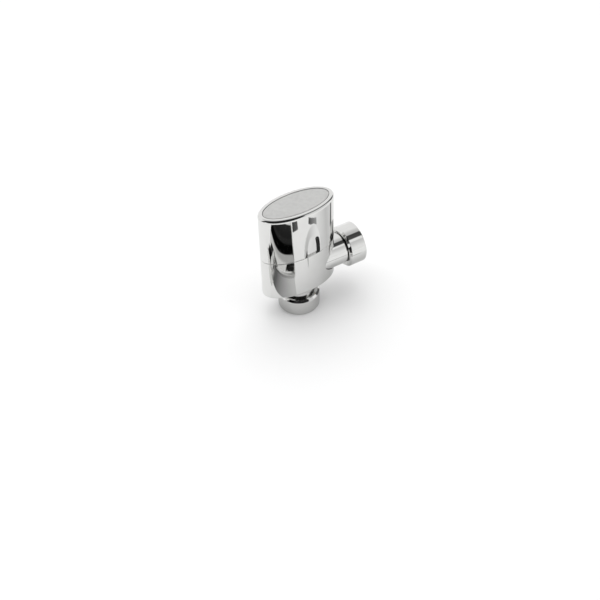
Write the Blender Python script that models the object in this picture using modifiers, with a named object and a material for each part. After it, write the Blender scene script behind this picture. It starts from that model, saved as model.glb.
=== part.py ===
"""Thermostatic radiator valve: an oval chromed angle valve with a turning thermostatic head.

The origin is on the valve's axis, at the lower face of the inlet nut. +Z runs up the valve to the head's
top plate and +X runs out along the outlet. Lengths are in metres.
"""

import math

import bmesh
import bpy
from mathutils import Matrix, Vector

MM = 0.001

# ---------------------------------------------------------------- driving dimensions
PIPE_RADIUS = 7.5 * MM
NUT_RADIUS = 13.5 * MM
NUT_LENGTH = 11.8 * MM
NECK_RADIUS = 10.25 * MM
THREAD_RADIUS = 9.9 * MM
OVAL_LONG = 25.5 * MM
OVAL_SHORT = 12.7 * MM
CASING_BOTTOM = 18.4 * MM
PORT_HEIGHT = 31.8 * MM
OUTLET_REACH = 43.2 * MM
SPLIT_HEIGHT = 48.2 * MM
TOP_HEIGHT = 82.3 * MM

# ---------------------------------------------------------------- fits shared by many pieces
GAP = 0.3 * MM
SPLIT_GAP = 0.5 * MM
CUT_PAST = 1.0 * MM
EMBED = 0.6 * MM
MERGE = 0.00001
HEIGHT_MATCH = 0.000001

# ---------------------------------------------------------------- facets
ROUND_STEPS = 28
SMALL_STEPS = 12
TINY_STEPS = 8
OVAL_STEPS = 44
EDGE_STEPS = 3
POINTS_PER_TURN = 10

# ---------------------------------------------------------------- casings
LOWER_WALL = 1.5 * MM
LOWER_FLOOR = 1.8 * MM
LOWER_EDGE_ROUND = 1.2 * MM
SPLIT_EDGE_ROUND = 0.25 * MM
CASING_HOLE_RADIUS = NECK_RADIUS + 0.35 * MM
CASING_HOLE_START = 12.6 * MM
SHELF_BOTTOM = 43.2 * MM
SHELF_TOP = 45.5 * MM
SHELF_INNER_X = 15.5 * MM
HEAD_WALL = 1.3 * MM
HEAD_CEILING = 78.6 * MM
HEAD_EDGE_ROUND = 2.0 * MM
PLATE_INSET = 3.35 * MM
PLATE_LONG = OVAL_LONG - PLATE_INSET
PLATE_SHORT = OVAL_SHORT - PLATE_INSET
PLATE_THICKNESS = 1.2 * MM
PLATE_DROP = 0.1 * MM
PAD_INSET = 0.8 * MM
PAD_THICKNESS = 0.4 * MM
CLAMP_PLATE_THICKNESS = 1.8 * MM

# ---------------------------------------------------------------- thumb scoop low in the head's front
SCOOP_CENTRE = Vector((3.9 * MM, -15.3 * MM, 50.0 * MM))
SCOOP_HALF_SIZE = Vector((8.0 * MM, 4.0 * MM, 30.2 * MM))
SCOOP_WALL = 0.8 * MM
SCOOP_STEPS = 32

# ---------------------------------------------------------------- valve body and stem
BODY_RADIUS = 10.8 * MM
BODY_BOTTOM = 21.2 * MM
INLET_TAIL_RADIUS = 8.3 * MM
INLET_TAIL_TOP = 24.9 * MM
INLET_WATERWAY = 6.0 * MM
SEAT_RADIUS = 4.6 * MM
SEAT_LIP = 1.0 * MM
SEAT_HEIGHT = 29.0 * MM
SEAT_LIP_HEIGHT = 0.8 * MM
CHAMBER_RADIUS = 7.5 * MM
BOSS_RADIUS = 9.2 * MM
BOSS_END_X = 12.0 * MM
OUTLET_TAIL_RADIUS = 5.9 * MM
OUTLET_TAIL_X = 8.3 * MM
OUTLET_SHOULDER_X = 13.4 * MM
OUTLET_WATERWAY = 4.2 * MM
OUTLET_WATERWAY_X = 6.5 * MM
SEAL_THICKNESS = 1.0 * MM
OPEN_LIFT = 2.1 * MM
STEM_RADIUS = 1.5 * MM
STEM_TOP = 59.0 * MM
BONNET_BOTTOM = 38.0 * MM
BONNET_HEX_RADIUS = 9.8 * MM
BONNET_HEX_TOP = 50.6 * MM
BONNET_TOP = 55.6 * MM
BONNET_THREAD_RADIUS = 7.2 * MM
BONNET_COLLAR_RADIUS = 6.6 * MM
SPRING_ROOM_RADIUS = 5.2 * MM
SPRING_ROOM_TOP = 49.0 * MM
GLAND_ROOM_BOTTOM = 51.0 * MM

# ---------------------------------------------------------------- thermostatic head
BASE_BOTTOM = 50.9 * MM
BASE_TOP = 77.2 * MM
BASE_TUBE_RADIUS = 8.5 * MM
BASE_BORE_RADIUS = 7.5 * MM
BASE_FLANGE_RADIUS = 10.4 * MM
BASE_FLANGE_TOP = 53.6 * MM
CARRIER_BOTTOM = 53.9 * MM
CARRIER_PLATE = 2.0 * MM
SLEEVE_TOP = 74.2 * MM
SLEEVE_RADIUS = 10.4 * MM
SLEEVE_BORE = 8.8 * MM
SLEEVE_THREAD_ROOT = 9.5 * MM
SLEEVE_THREAD_BOTTOM = 69.4 * MM
HOLDER_RADIUS = 7.2 * MM
HOLDER_BORE = 6.5 * MM
HOLDER_BOTTOM = 63.6 * MM
HOLDER_TOP = 77.0 * MM
LUG_BOTTOM = 71.0 * MM
LUG_HEIGHT = 1.6 * MM
LUG_WIDTH = 2.6 * MM
LUG_REACH = 9.2 * MM
CAPSULE_RADIUS = 6.2 * MM
CAPSULE_BOTTOM = 65.0 * MM
CAPSULE_TOP = 72.2 * MM
STOP_TRACK_RADIUS = 9.95 * MM
STOP_PIN_RADIUS = 0.45 * MM
STOP_BLOCK_ANGLE = math.radians(21.0)
STOP_BLOCK_WIDTH = 1.6 * MM
HEAD_POST_X = 19.0 * MM
HEAD_POST_RADIUS = 3.0 * MM
SCREW_RADIUS = 1.2 * MM
SCREW_HOLE_RADIUS = 1.5 * MM
CASING_SCREW_X = 19.5 * MM


def clear_scene():
    for old in list(bpy.data.objects):
        bpy.data.objects.remove(old, do_unlink=True)


def new_collection(name):
    group = bpy.data.collections.new(name)
    bpy.context.scene.collection.children.link(group)
    return group


def finish_material(name, colour, roughness, metallic):
    paint = bpy.data.materials.new(name)
    paint.use_nodes = True
    shader = paint.node_tree.nodes["Principled BSDF"]
    shader.inputs["Base Color"].default_value = (*colour, 1.0)
    shader.inputs["Roughness"].default_value = roughness
    shader.inputs["Metallic"].default_value = metallic
    return paint


clear_scene()
PARTS = new_collection("thermostatic_radiator_valve")
CUTTERS = new_collection("cutters")


# ---------------------------------------------------------------- building blocks
def add_piece(name, mesh, paint):
    piece = bpy.data.objects.new(name, mesh)
    mesh.materials.append(paint)
    PARTS.objects.link(piece)
    return piece


def add_cutter(name, mesh):
    cutter = bpy.data.objects.new(name, mesh)
    cutter.hide_render = True
    cutter.display_type = "WIRE"
    CUTTERS.objects.link(cutter)
    return cutter


def outline_mesh(name, outline):
    """Edges through (radius, height) points. An outline that starts and ends on the axis stays open."""
    mesh = bpy.data.meshes.new(name)
    points = [(radius, 0.0, height) for radius, height in outline]
    edges = [(i, i + 1) for i in range(len(points) - 1)]
    if outline[0][0] > 0.0:
        edges.append((len(points) - 1, 0))
    mesh.from_pydata(points, edges, [])
    return mesh


def turn(piece, steps):
    """Sweeps the piece's outline once round the Z axis."""
    screw = piece.modifiers.new("turn", "SCREW")
    screw.axis = "Z"
    screw.steps = steps
    screw.render_steps = steps
    screw.use_merge_vertices = True
    screw.merge_threshold = MERGE
    screw.use_smooth_shade = True
    return piece


def turned(name, outline, paint, steps=ROUND_STEPS):
    return turn(add_piece(name, outline_mesh(name, outline), paint), steps)


def turned_cutter(name, outline, steps=ROUND_STEPS):
    return turn(add_cutter(name, outline_mesh(name, outline)), steps)


def tube_outline(inner, outer, bottom, top):
    return [(outer, top), (outer, bottom), (inner, bottom), (inner, top)]


def rod_outline(radius, bottom, top):
    return [(0.0, top), (radius, top), (radius, bottom), (0.0, bottom)]


def prism_mesh(name, long_half, short_half, bottom, top, steps, bottom_round=0.0, top_round=0.0):
    """An upright prism on an oval, a circle or a polygon, with rounded rims where asked."""
    form = bmesh.new()
    bmesh.ops.create_cone(form, cap_ends=True, segments=steps, radius1=1.0, radius2=1.0, depth=1.0)
    place = Matrix.Translation((0.0, 0.0, (bottom + top) / 2.0))
    stretch = Matrix.Diagonal((long_half, short_half, top - bottom, 1.0))
    bmesh.ops.transform(form, matrix=place @ stretch, verts=form.verts)
    for height, radius in ((bottom, bottom_round), (top, top_round)):
        if radius > 0.0:
            rim = [e for e in form.edges if all(abs(v.co.z - height) < HEIGHT_MATCH for v in e.verts)]
            bmesh.ops.bevel(
                form,
                geom=rim,
                offset=radius,
                offset_type="OFFSET",
                segments=EDGE_STEPS,
                profile=0.5,
                affect="EDGES",
            )
    mesh = bpy.data.meshes.new(name)
    form.to_mesh(mesh)
    form.free()
    mesh.shade_smooth()
    mesh.set_sharp_from_angle(angle=math.radians(35.0))
    return mesh


def box_mesh(name, low, high):
    form = bmesh.new()
    bmesh.ops.create_cube(form, size=1.0)
    low, high = Vector(low), Vector(high)
    place = Matrix.Translation((low + high) / 2.0)
    bmesh.ops.transform(form, matrix=place @ Matrix.Diagonal((*(high - low), 1.0)), verts=form.verts)
    mesh = bpy.data.meshes.new(name)
    form.to_mesh(mesh)
    form.free()
    return mesh


def combine(piece, tool, operation):
    step = piece.modifiers.new(tool.name, "BOOLEAN")
    step.operation = operation
    step.solver = "EXACT"
    step.object = tool


def cut(piece, *tools):
    for tool in tools:
        combine(piece, tool, "DIFFERENCE")


def join(piece, *tools):
    for tool in tools:
        combine(piece, tool, "UNION")


def o_ring(name, ring_radius, cord_radius, height, steps):
    """A rubber ring of round section."""
    angles = [-2.0 * math.pi * i / TINY_STEPS for i in range(TINY_STEPS)]
    section = [
        (ring_radius + cord_radius * math.cos(angle), height + cord_radius * math.sin(angle))
        for angle in angles
    ]
    return turned(name, section, RUBBER, steps)


def coil(name, coil_radius, wire_radius, bottom, top, turns, paint):
    """A wire spring wound round the Z axis, between two heights."""
    count = round(turns * POINTS_PER_TURN) + 1
    wire = bpy.data.curves.new(name, "CURVE")
    wire.dimensions = "3D"
    wire.bevel_depth = wire_radius
    wire.bevel_resolution = 2
    wire.use_fill_caps = True
    line = wire.splines.new("POLY")
    line.points.add(count - 1)
    low, high = bottom + wire_radius, top - wire_radius
    for i in range(count):
        share = i / (count - 1)
        angle = 2.0 * math.pi * turns * share
        x, y = coil_radius * math.cos(angle), coil_radius * math.sin(angle)
        line.points[i].co = (x, y, low + (high - low) * share, 1.0)
    wire.materials.append(paint)
    spring = bpy.data.objects.new(name, wire)
    PARTS.objects.link(spring)
    return spring


def scoop_tool(name, grow):
    """The thumb scoop's ellipsoid, grown all round by a wall or a gap."""
    form = bmesh.new()
    bmesh.ops.create_uvsphere(form, u_segments=SCOOP_STEPS, v_segments=SCOOP_STEPS, radius=1.0)
    half_size = SCOOP_HALF_SIZE + Vector((grow, grow, grow))
    place = Matrix.Translation(SCOOP_CENTRE) @ Matrix.Diagonal((*half_size, 1.0))
    bmesh.ops.transform(form, matrix=place, verts=form.verts)
    mesh = bpy.data.meshes.new(name)
    form.to_mesh(mesh)
    form.free()
    return add_cutter(name, mesh)


def slot_cutter(name, x, depth_bottom, depth_top, width, length):
    """The straight driver slot in a screw's head."""
    low = (x - length / 2.0, -width / 2.0, depth_bottom)
    high = (x + length / 2.0, width / 2.0, depth_top)
    return add_cutter(name, box_mesh(name, low, high))


# ---------------------------------------------------------------- finishes
CHROME = finish_material("chrome", (0.80, 0.81, 0.82), 0.05, 1.0)
SATIN = finish_material("satin_plate", (0.62, 0.62, 0.61), 0.38, 1.0)
BRASS = finish_material("brass", (0.72, 0.52, 0.24), 0.35, 1.0)
COPPER = finish_material("copper", (0.60, 0.28, 0.16), 0.35, 1.0)
STEEL = finish_material("steel", (0.60, 0.61, 0.62), 0.30, 1.0)
NYLON = finish_material("black_nylon", (0.05, 0.05, 0.055), 0.55, 0.0)
WHITE_NYLON = finish_material("white_nylon", (0.78, 0.78, 0.75), 0.50, 0.0)
RUBBER = finish_material("rubber", (0.03, 0.03, 0.03), 0.80, 0.0)
FIBRE = finish_material("fibre", (0.42, 0.14, 0.10), 0.85, 0.0)


# ---------------------------------------------------------------- the two ports
# Port pieces are drawn upright, with their height measured inwards from the nut's outer face.
def nut(name):
    """Round union nut: a plain front with the pipe hole, a cone for the olive, and the threaded bore."""
    front_round = 0.7 * MM
    back_chamfer = 1.3 * MM
    pipe_hole = PIPE_RADIUS + 0.25 * MM
    hole_chamfer = 0.2 * MM
    front_wall = 2.0 * MM
    cone_radius = 9.2 * MM
    thread_bore = THREAD_RADIUS + GAP
    recess_radius = 11.2 * MM
    recess_depth = 1.0 * MM
    cone_end = front_wall + cone_radius - pipe_hole
    outline = [
        (NUT_RADIUS - back_chamfer, NUT_LENGTH),
        (NUT_RADIUS, NUT_LENGTH - back_chamfer),
        (NUT_RADIUS, front_round),
        (NUT_RADIUS - 0.3 * front_round, 0.3 * front_round),
        (NUT_RADIUS - front_round, 0.0),
        (pipe_hole + hole_chamfer, 0.0),
        (pipe_hole, hole_chamfer),
        (pipe_hole, front_wall),
        (cone_radius, cone_end),
        (thread_bore, cone_end),
        (thread_bore, NUT_LENGTH - recess_depth),
        (recess_radius, NUT_LENGTH - recess_depth),
        (recess_radius, NUT_LENGTH),
    ]
    return turned(name, outline, CHROME)


def olive(name):
    """The barrel-shaped compression ring that the nut squeezes onto the pipe."""
    start = 2.5 * MM
    length = 5.0 * MM
    bore = PIPE_RADIUS + 0.1 * MM
    end_radius = 7.95 * MM
    crown_radius = 8.85 * MM
    crown_flat = 0.5 * MM
    middle = start + length / 2.0
    outline = [
        (end_radius, start + length),
        (crown_radius, middle + crown_flat),
        (crown_radius, middle - crown_flat),
        (end_radius, start),
        (bore, start),
        (bore, start + length),
    ]
    return turned(name, outline, COPPER)


def spigot(name, tail_radius, shoulder, tail_end, waterway):
    """A screwed-in port: outer thread and olive cone, polished neck, and a tail into the valve body."""
    mouth = 5.0 * MM
    mouth_chamfer = 0.3 * MM
    cone_radius = 9.4 * MM
    socket_radius = PIPE_RADIUS + 0.15 * MM
    cone_end = 9.0 * MM
    pipe_stop = 16.0 * MM
    neck_start = 11.1 * MM
    outline = [
        (tail_radius, tail_end),
        (tail_radius, shoulder),
        (NECK_RADIUS, shoulder),
        (NECK_RADIUS, neck_start),
        (THREAD_RADIUS, neck_start),
        (THREAD_RADIUS, mouth + mouth_chamfer),
        (THREAD_RADIUS - mouth_chamfer, mouth),
        (cone_radius, mouth),
        (socket_radius, cone_end),
        (socket_radius, pipe_stop),
        (waterway, pipe_stop),
        (waterway, tail_end),
    ]
    return turned(name, outline, CHROME)


def port_empty(name, location, tilt):
    empty = bpy.data.objects.new(name, None)
    empty.location = location
    empty.rotation_euler = (0.0, tilt, 0.0)
    PARTS.objects.link(empty)
    return empty


inlet_port = port_empty("inlet_port", (0.0, 0.0, 0.0), 0.0)
outlet_port = port_empty("outlet_port", (OUTLET_REACH, 0.0, PORT_HEIGHT), -math.pi / 2.0)
inlet_shoulder = BODY_BOTTOM - SEAL_THICKNESS - 2.0 * GAP
inlet_seal_radius = NECK_RADIUS - 0.05 * MM

inlet_pieces = [
    nut("inlet_nut"),
    olive("inlet_olive"),
    spigot("inlet_spigot", INLET_TAIL_RADIUS, inlet_shoulder, INLET_TAIL_TOP, INLET_WATERWAY),
    turned(
        "inlet_seal",
        tube_outline(
            INLET_TAIL_RADIUS + GAP,
            inlet_seal_radius,
            inlet_shoulder + GAP,
            inlet_shoulder + GAP + SEAL_THICKNESS,
        ),
        FIBRE,
    ),
]
outlet_shoulder = OUTLET_REACH - OUTLET_SHOULDER_X
outlet_seal_thickness = 0.8 * MM
outlet_seal_end = OUTLET_REACH - BOSS_END_X - GAP
outlet_pieces = [
    nut("outlet_nut"),
    olive("outlet_olive"),
    spigot(
        "outlet_spigot",
        OUTLET_TAIL_RADIUS,
        outlet_shoulder,
        OUTLET_REACH - OUTLET_TAIL_X,
        OUTLET_WATERWAY,
    ),
    turned(
        "outlet_seal",
        tube_outline(
            OUTLET_TAIL_RADIUS + GAP,
            BOSS_RADIUS,
            outlet_seal_end - outlet_seal_thickness,
            outlet_seal_end,
        ),
        FIBRE,
    ),
]
for piece in inlet_pieces:
    piece.parent = inlet_port
for piece in outlet_pieces:
    piece.parent = outlet_port


# ---------------------------------------------------------------- valve body
def valve_body():
    """Brass angle body: inlet from below through the raised seat, outlet to +X, bonnet thread on top."""
    body = turned("valve_body", rod_outline(BODY_RADIUS, BODY_BOTTOM, SHELF_TOP), BRASS)
    boss_inner_x = 1.0 * MM
    boss = turned_cutter(
        "boss", rod_outline(BOSS_RADIUS, OUTLET_REACH - BOSS_END_X, OUTLET_REACH - boss_inner_x)
    )
    inlet_bore = INLET_TAIL_RADIUS + GAP
    inlet_bore_top = INLET_TAIL_TOP + GAP
    web_top = SEAT_HEIGHT - SEAT_LIP_HEIGHT
    core_outline = [
        (0.0, SHELF_TOP + CUT_PAST),
        (CHAMBER_RADIUS, SHELF_TOP + CUT_PAST),
        (CHAMBER_RADIUS, web_top),
        (SEAT_RADIUS + SEAT_LIP, web_top),
        (SEAT_RADIUS + SEAT_LIP, SEAT_HEIGHT),
        (SEAT_RADIUS, SEAT_HEIGHT),
        (SEAT_RADIUS, inlet_bore_top),
        (inlet_bore, inlet_bore_top),
        (inlet_bore, BODY_BOTTOM - CUT_PAST),
        (0.0, BODY_BOTTOM - CUT_PAST),
    ]
    core = turned_cutter("body_core", core_outline)
    thread_end = OUTLET_REACH - OUTLET_TAIL_X + GAP
    outlet_bore = OUTLET_TAIL_RADIUS + GAP
    passage_outline = [
        (0.0, OUTLET_REACH - OUTLET_WATERWAY_X),
        (OUTLET_WATERWAY, OUTLET_REACH - OUTLET_WATERWAY_X),
        (OUTLET_WATERWAY, thread_end),
        (outlet_bore, thread_end),
        (outlet_bore, OUTLET_REACH - BOSS_END_X - CUT_PAST),
        (0.0, OUTLET_REACH - BOSS_END_X - CUT_PAST),
    ]
    passage = turned_cutter("outlet_passage", passage_outline)
    for tool in (boss, passage):
        tool.parent = outlet_port
    join(body, boss)
    cut(body, core, passage)


# ---------------------------------------------------------------- lower casing and its cover plate
def both_ends(make, x):
    """Makes the same item at -X and +X, and returns both."""
    return [make(side, sign * x) for side, sign in (("left", -1.0), ("right", 1.0))]


def screw_hole(name, x, radius, bottom, top):
    tool = add_cutter(name, prism_mesh(name, radius, radius, bottom, top, TINY_STEPS))
    tool.location.x = x
    return tool


def lower_casing():
    """Fixed oval shell round the valve body, with a floor, two port holes and a screw shelf at each end."""
    rim = SPLIT_HEIGHT - SPLIT_GAP / 2.0
    outer = prism_mesh(
        "lower_casing",
        OVAL_LONG,
        OVAL_SHORT,
        CASING_BOTTOM,
        rim,
        OVAL_STEPS,
        LOWER_EDGE_ROUND,
        SPLIT_EDGE_ROUND,
    )
    casing = add_piece("lower_casing", outer, CHROME)
    inner_long, inner_short = OVAL_LONG - LOWER_WALL, OVAL_SHORT - LOWER_WALL
    hollow = prism_mesh(
        "lower_hollow", inner_long, inner_short, CASING_BOTTOM + LOWER_FLOOR, rim + CUT_PAST, OVAL_STEPS
    )
    shelf = add_cutter(
        "shelf",
        prism_mesh("shelf", inner_long + EMBED, inner_short + EMBED, SHELF_BOTTOM, SHELF_TOP, OVAL_STEPS),
    )
    middle_low = (-SHELF_INNER_X, -OVAL_SHORT, SHELF_BOTTOM - CUT_PAST)
    middle_high = (SHELF_INNER_X, OVAL_SHORT, SHELF_TOP + CUT_PAST)
    cut(shelf, add_cutter("shelf_middle", box_mesh("shelf_middle", middle_low, middle_high)))
    hole = CASING_HOLE_RADIUS
    floor_hole = add_cutter(
        "floor_hole",
        prism_mesh("floor_hole", hole, hole, CASING_BOTTOM - CUT_PAST, BODY_BOTTOM, ROUND_STEPS),
    )
    side_hole = turned_cutter(
        "side_hole",
        rod_outline(hole, OUTLET_REACH - OVAL_LONG - CUT_PAST, OUTLET_REACH - CASING_HOLE_START),
    )
    side_hole.parent = outlet_port
    screw_holes = both_ends(
        lambda side, x: screw_hole(
            "shelf_hole_" + side, x, SCREW_HOLE_RADIUS, SHELF_BOTTOM - CUT_PAST, SHELF_TOP + CUT_PAST
        ),
        CASING_SCREW_X,
    )
    cut(casing, add_cutter("lower_hollow", hollow))
    join(casing, shelf)
    cut(casing, floor_hole, side_hole, *screw_holes)


def casing_plate():
    """Oval plate under the bonnet's hex, which holds the lower casing to the valve body."""
    bottom = SHELF_TOP + GAP
    head_radius = 2.4 * MM
    head_depth = 1.2 * MM
    top = bottom + CLAMP_PLATE_THICKNESS
    inset = LOWER_WALL + GAP
    plate = add_piece(
        "casing_plate",
        prism_mesh("casing_plate", OVAL_LONG - inset, OVAL_SHORT - inset, bottom, top, OVAL_STEPS),
        STEEL,
    )
    centre = BONNET_THREAD_RADIUS + GAP
    centre_hole = prism_mesh("plate_centre", centre, centre, bottom - CUT_PAST, top + CUT_PAST, ROUND_STEPS)
    cut(plate, add_cutter("plate_centre", centre_hole))

    def countersink(side, x):
        wide, narrow = head_radius + GAP, SCREW_HOLE_RADIUS
        cone_bottom = top - head_depth - GAP
        outline = [
            (0.0, top + CUT_PAST),
            (wide, top + CUT_PAST),
            (wide, top - GAP),
            (narrow, cone_bottom),
            (narrow, bottom - CUT_PAST),
            (0.0, bottom - CUT_PAST),
        ]
        tool = turned_cutter("countersink_" + side, outline, TINY_STEPS)
        tool.location.x = x
        return tool

    def screw(side, x):
        outline = [
            (0.0, top),
            (head_radius, top),
            (SCREW_RADIUS, top - head_depth),
            (SCREW_RADIUS, SHELF_BOTTOM),
            (0.0, SHELF_BOTTOM),
        ]
        piece = turned("casing_screw_" + side, outline, STEEL, TINY_STEPS)
        piece.location.x = x
        slot_width, slot_depth = 0.6 * MM, 0.5 * MM
        cut(
            piece,
            slot_cutter(
                "casing_slot_" + side,
                x,
                top - slot_depth,
                top + CUT_PAST,
                slot_width,
                2.0 * (head_radius + CUT_PAST),
            ),
        )

    cut(plate, *both_ends(countersink, CASING_SCREW_X))
    both_ends(screw, CASING_SCREW_X)


# ---------------------------------------------------------------- bonnet, gland and stem
def bonnet():
    """Brass bonnet: its thread closes the body, its hex clamps the plate, its collar carries the head."""
    hex_bottom = SHELF_TOP + CLAMP_PLATE_THICKNESS + 2.0 * GAP
    groove_bottom, groove_top = 39.9 * MM, 41.5 * MM
    groove_radius = 6.2 * MM
    gland_bore = 4.6 * MM
    stem_bore = STEM_RADIUS + GAP
    outline = [
        (BONNET_COLLAR_RADIUS, BONNET_TOP),
        (BONNET_COLLAR_RADIUS, hex_bottom),
        (BONNET_THREAD_RADIUS, hex_bottom),
        (BONNET_THREAD_RADIUS, groove_top),
        (groove_radius, groove_top),
        (groove_radius, groove_bottom),
        (BONNET_THREAD_RADIUS, groove_bottom),
        (BONNET_THREAD_RADIUS, BONNET_BOTTOM),
        (SPRING_ROOM_RADIUS, BONNET_BOTTOM),
        (SPRING_ROOM_RADIUS, SPRING_ROOM_TOP),
        (stem_bore, SPRING_ROOM_TOP),
        (stem_bore, GLAND_ROOM_BOTTOM),
        (gland_bore, GLAND_ROOM_BOTTOM),
        (gland_bore, BONNET_TOP),
    ]
    piece = turned("bonnet", outline, BRASS)
    hexagon = add_cutter(
        "bonnet_hex",
        prism_mesh("bonnet_hex", BONNET_HEX_RADIUS, BONNET_HEX_RADIUS, hex_bottom, BONNET_HEX_TOP, 6),
    )
    hex_hole = (BONNET_COLLAR_RADIUS + gland_bore) / 2.0
    cut(
        hexagon,
        add_cutter(
            "hex_hole",
            prism_mesh(
                "hex_hole",
                hex_hole,
                hex_hole,
                hex_bottom - CUT_PAST,
                BONNET_HEX_TOP + CUT_PAST,
                ROUND_STEPS,
            ),
        ),
    )
    join(piece, hexagon)
    ring_radius, ring_cord = 6.85 * MM, 0.5 * MM
    o_ring("bonnet_o_ring", ring_radius, ring_cord, (groove_bottom + groove_top) / 2.0, ROUND_STEPS)

    gland_ring_radius, gland_ring_cord = 2.95 * MM, 1.1 * MM
    gland_ring_gap = 0.2 * MM
    gland_ring_height = GLAND_ROOM_BOTTOM + gland_ring_gap + gland_ring_cord
    o_ring("gland_o_ring", gland_ring_radius, gland_ring_cord, gland_ring_height, SMALL_STEPS)

    nut_bottom = gland_ring_height + gland_ring_cord + GAP
    gland = turned(
        "gland_nut",
        tube_outline(stem_bore, gland_bore - GAP, nut_bottom, BONNET_TOP),
        BRASS,
        SMALL_STEPS,
    )
    slot_width, slot_depth = 1.0 * MM, 0.7 * MM
    cut(
        gland,
        slot_cutter(
            "gland_slot",
            0.0,
            BONNET_TOP - slot_depth,
            BONNET_TOP + CUT_PAST,
            slot_width,
            2.0 * BONNET_COLLAR_RADIUS,
        ),
    )


def stem_group():
    """Everything that lifts together: disc, washer and screw, stem, cap and the capsule's piston."""
    washer_bottom = SEAT_HEIGHT + OPEN_LIFT
    washer_radius = 5.7 * MM
    washer_thickness = 1.6 * MM
    holder_radius = 6.6 * MM
    hub_radius = 3.4 * MM
    rim_bottom = washer_bottom + 0.8 * MM
    recess_top = washer_bottom + washer_thickness + GAP
    flange_top = 34.3 * MM
    holder_top = 35.8 * MM
    screw_hole_top = 34.0 * MM
    stem_hole_bottom = 34.5 * MM
    stem_bottom = stem_hole_bottom + GAP
    holder_outline = [
        (0.0, stem_hole_bottom),
        (STEM_RADIUS + GAP, stem_hole_bottom),
        (STEM_RADIUS + GAP, holder_top),
        (hub_radius, holder_top),
        (hub_radius, flange_top),
        (holder_radius, flange_top),
        (holder_radius, rim_bottom),
        (washer_radius + GAP, rim_bottom),
        (washer_radius + GAP, recess_top),
        (SCREW_HOLE_RADIUS, recess_top),
        (SCREW_HOLE_RADIUS, screw_hole_top),
        (0.0, screw_hole_top),
    ]
    turned("disc_holder", holder_outline, BRASS, SMALL_STEPS)
    turned(
        "disc_washer",
        tube_outline(SCREW_HOLE_RADIUS, washer_radius, washer_bottom, washer_bottom + washer_thickness),
        RUBBER,
        SMALL_STEPS,
    )
    screw_head_radius = 2.6 * MM
    screw_head_top = washer_bottom - GAP
    screw_head_bottom = screw_head_top - 0.9 * MM
    screw_outline = [
        (0.0, screw_hole_top - GAP),
        (SCREW_RADIUS, screw_hole_top - GAP),
        (SCREW_RADIUS, screw_head_top),
        (screw_head_radius, screw_head_top),
        (screw_head_radius, screw_head_bottom),
        (0.0, screw_head_bottom),
    ]
    turned("disc_screw", screw_outline, STEEL, SMALL_STEPS)

    collar_radius = 4.6 * MM
    collar_bottom, collar_top = 45.5 * MM, 46.6 * MM
    stem_outline = [
        (0.0, STEM_TOP),
        (STEM_RADIUS, STEM_TOP),
        (STEM_RADIUS, collar_top),
        (collar_radius, collar_top),
        (collar_radius, collar_bottom),
        (STEM_RADIUS, collar_bottom),
        (STEM_RADIUS, stem_bottom),
        (0.0, stem_bottom),
    ]
    turned("stem", stem_outline, STEEL, SMALL_STEPS)

    retainer_bottom, retainer_top = 38.4 * MM, 39.6 * MM
    turned(
        "spring_retainer",
        tube_outline(STEM_RADIUS + GAP, SPRING_ROOM_RADIUS - GAP, retainer_bottom, retainer_top),
        BRASS,
        SMALL_STEPS,
    )
    spring_radius, spring_wire, spring_turns = 4.1 * MM, 0.4 * MM, 4
    coil(
        "return_spring",
        spring_radius,
        spring_wire,
        retainer_top + GAP,
        collar_bottom - GAP,
        spring_turns,
        STEEL,
    )

    cap_radius = 3.0 * MM
    cap_wall = 0.7 * MM
    cap_bottom = 57.8 * MM
    cap_top = STEM_TOP + GAP + cap_wall
    cap_outline = [
        (0.0, cap_top),
        (cap_radius, cap_top),
        (cap_radius, cap_bottom),
        (STEM_RADIUS + GAP, cap_bottom),
        (STEM_RADIUS + GAP, STEM_TOP + GAP),
        (0.0, STEM_TOP + GAP),
    ]
    turned("stem_cap", cap_outline, WHITE_NYLON, SMALL_STEPS)

    piston_radius = 1.3 * MM
    piston_top = 63.4 * MM
    turned("capsule_piston", rod_outline(piston_radius, cap_top + GAP, piston_top), STEEL, TINY_STEPS)


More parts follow.
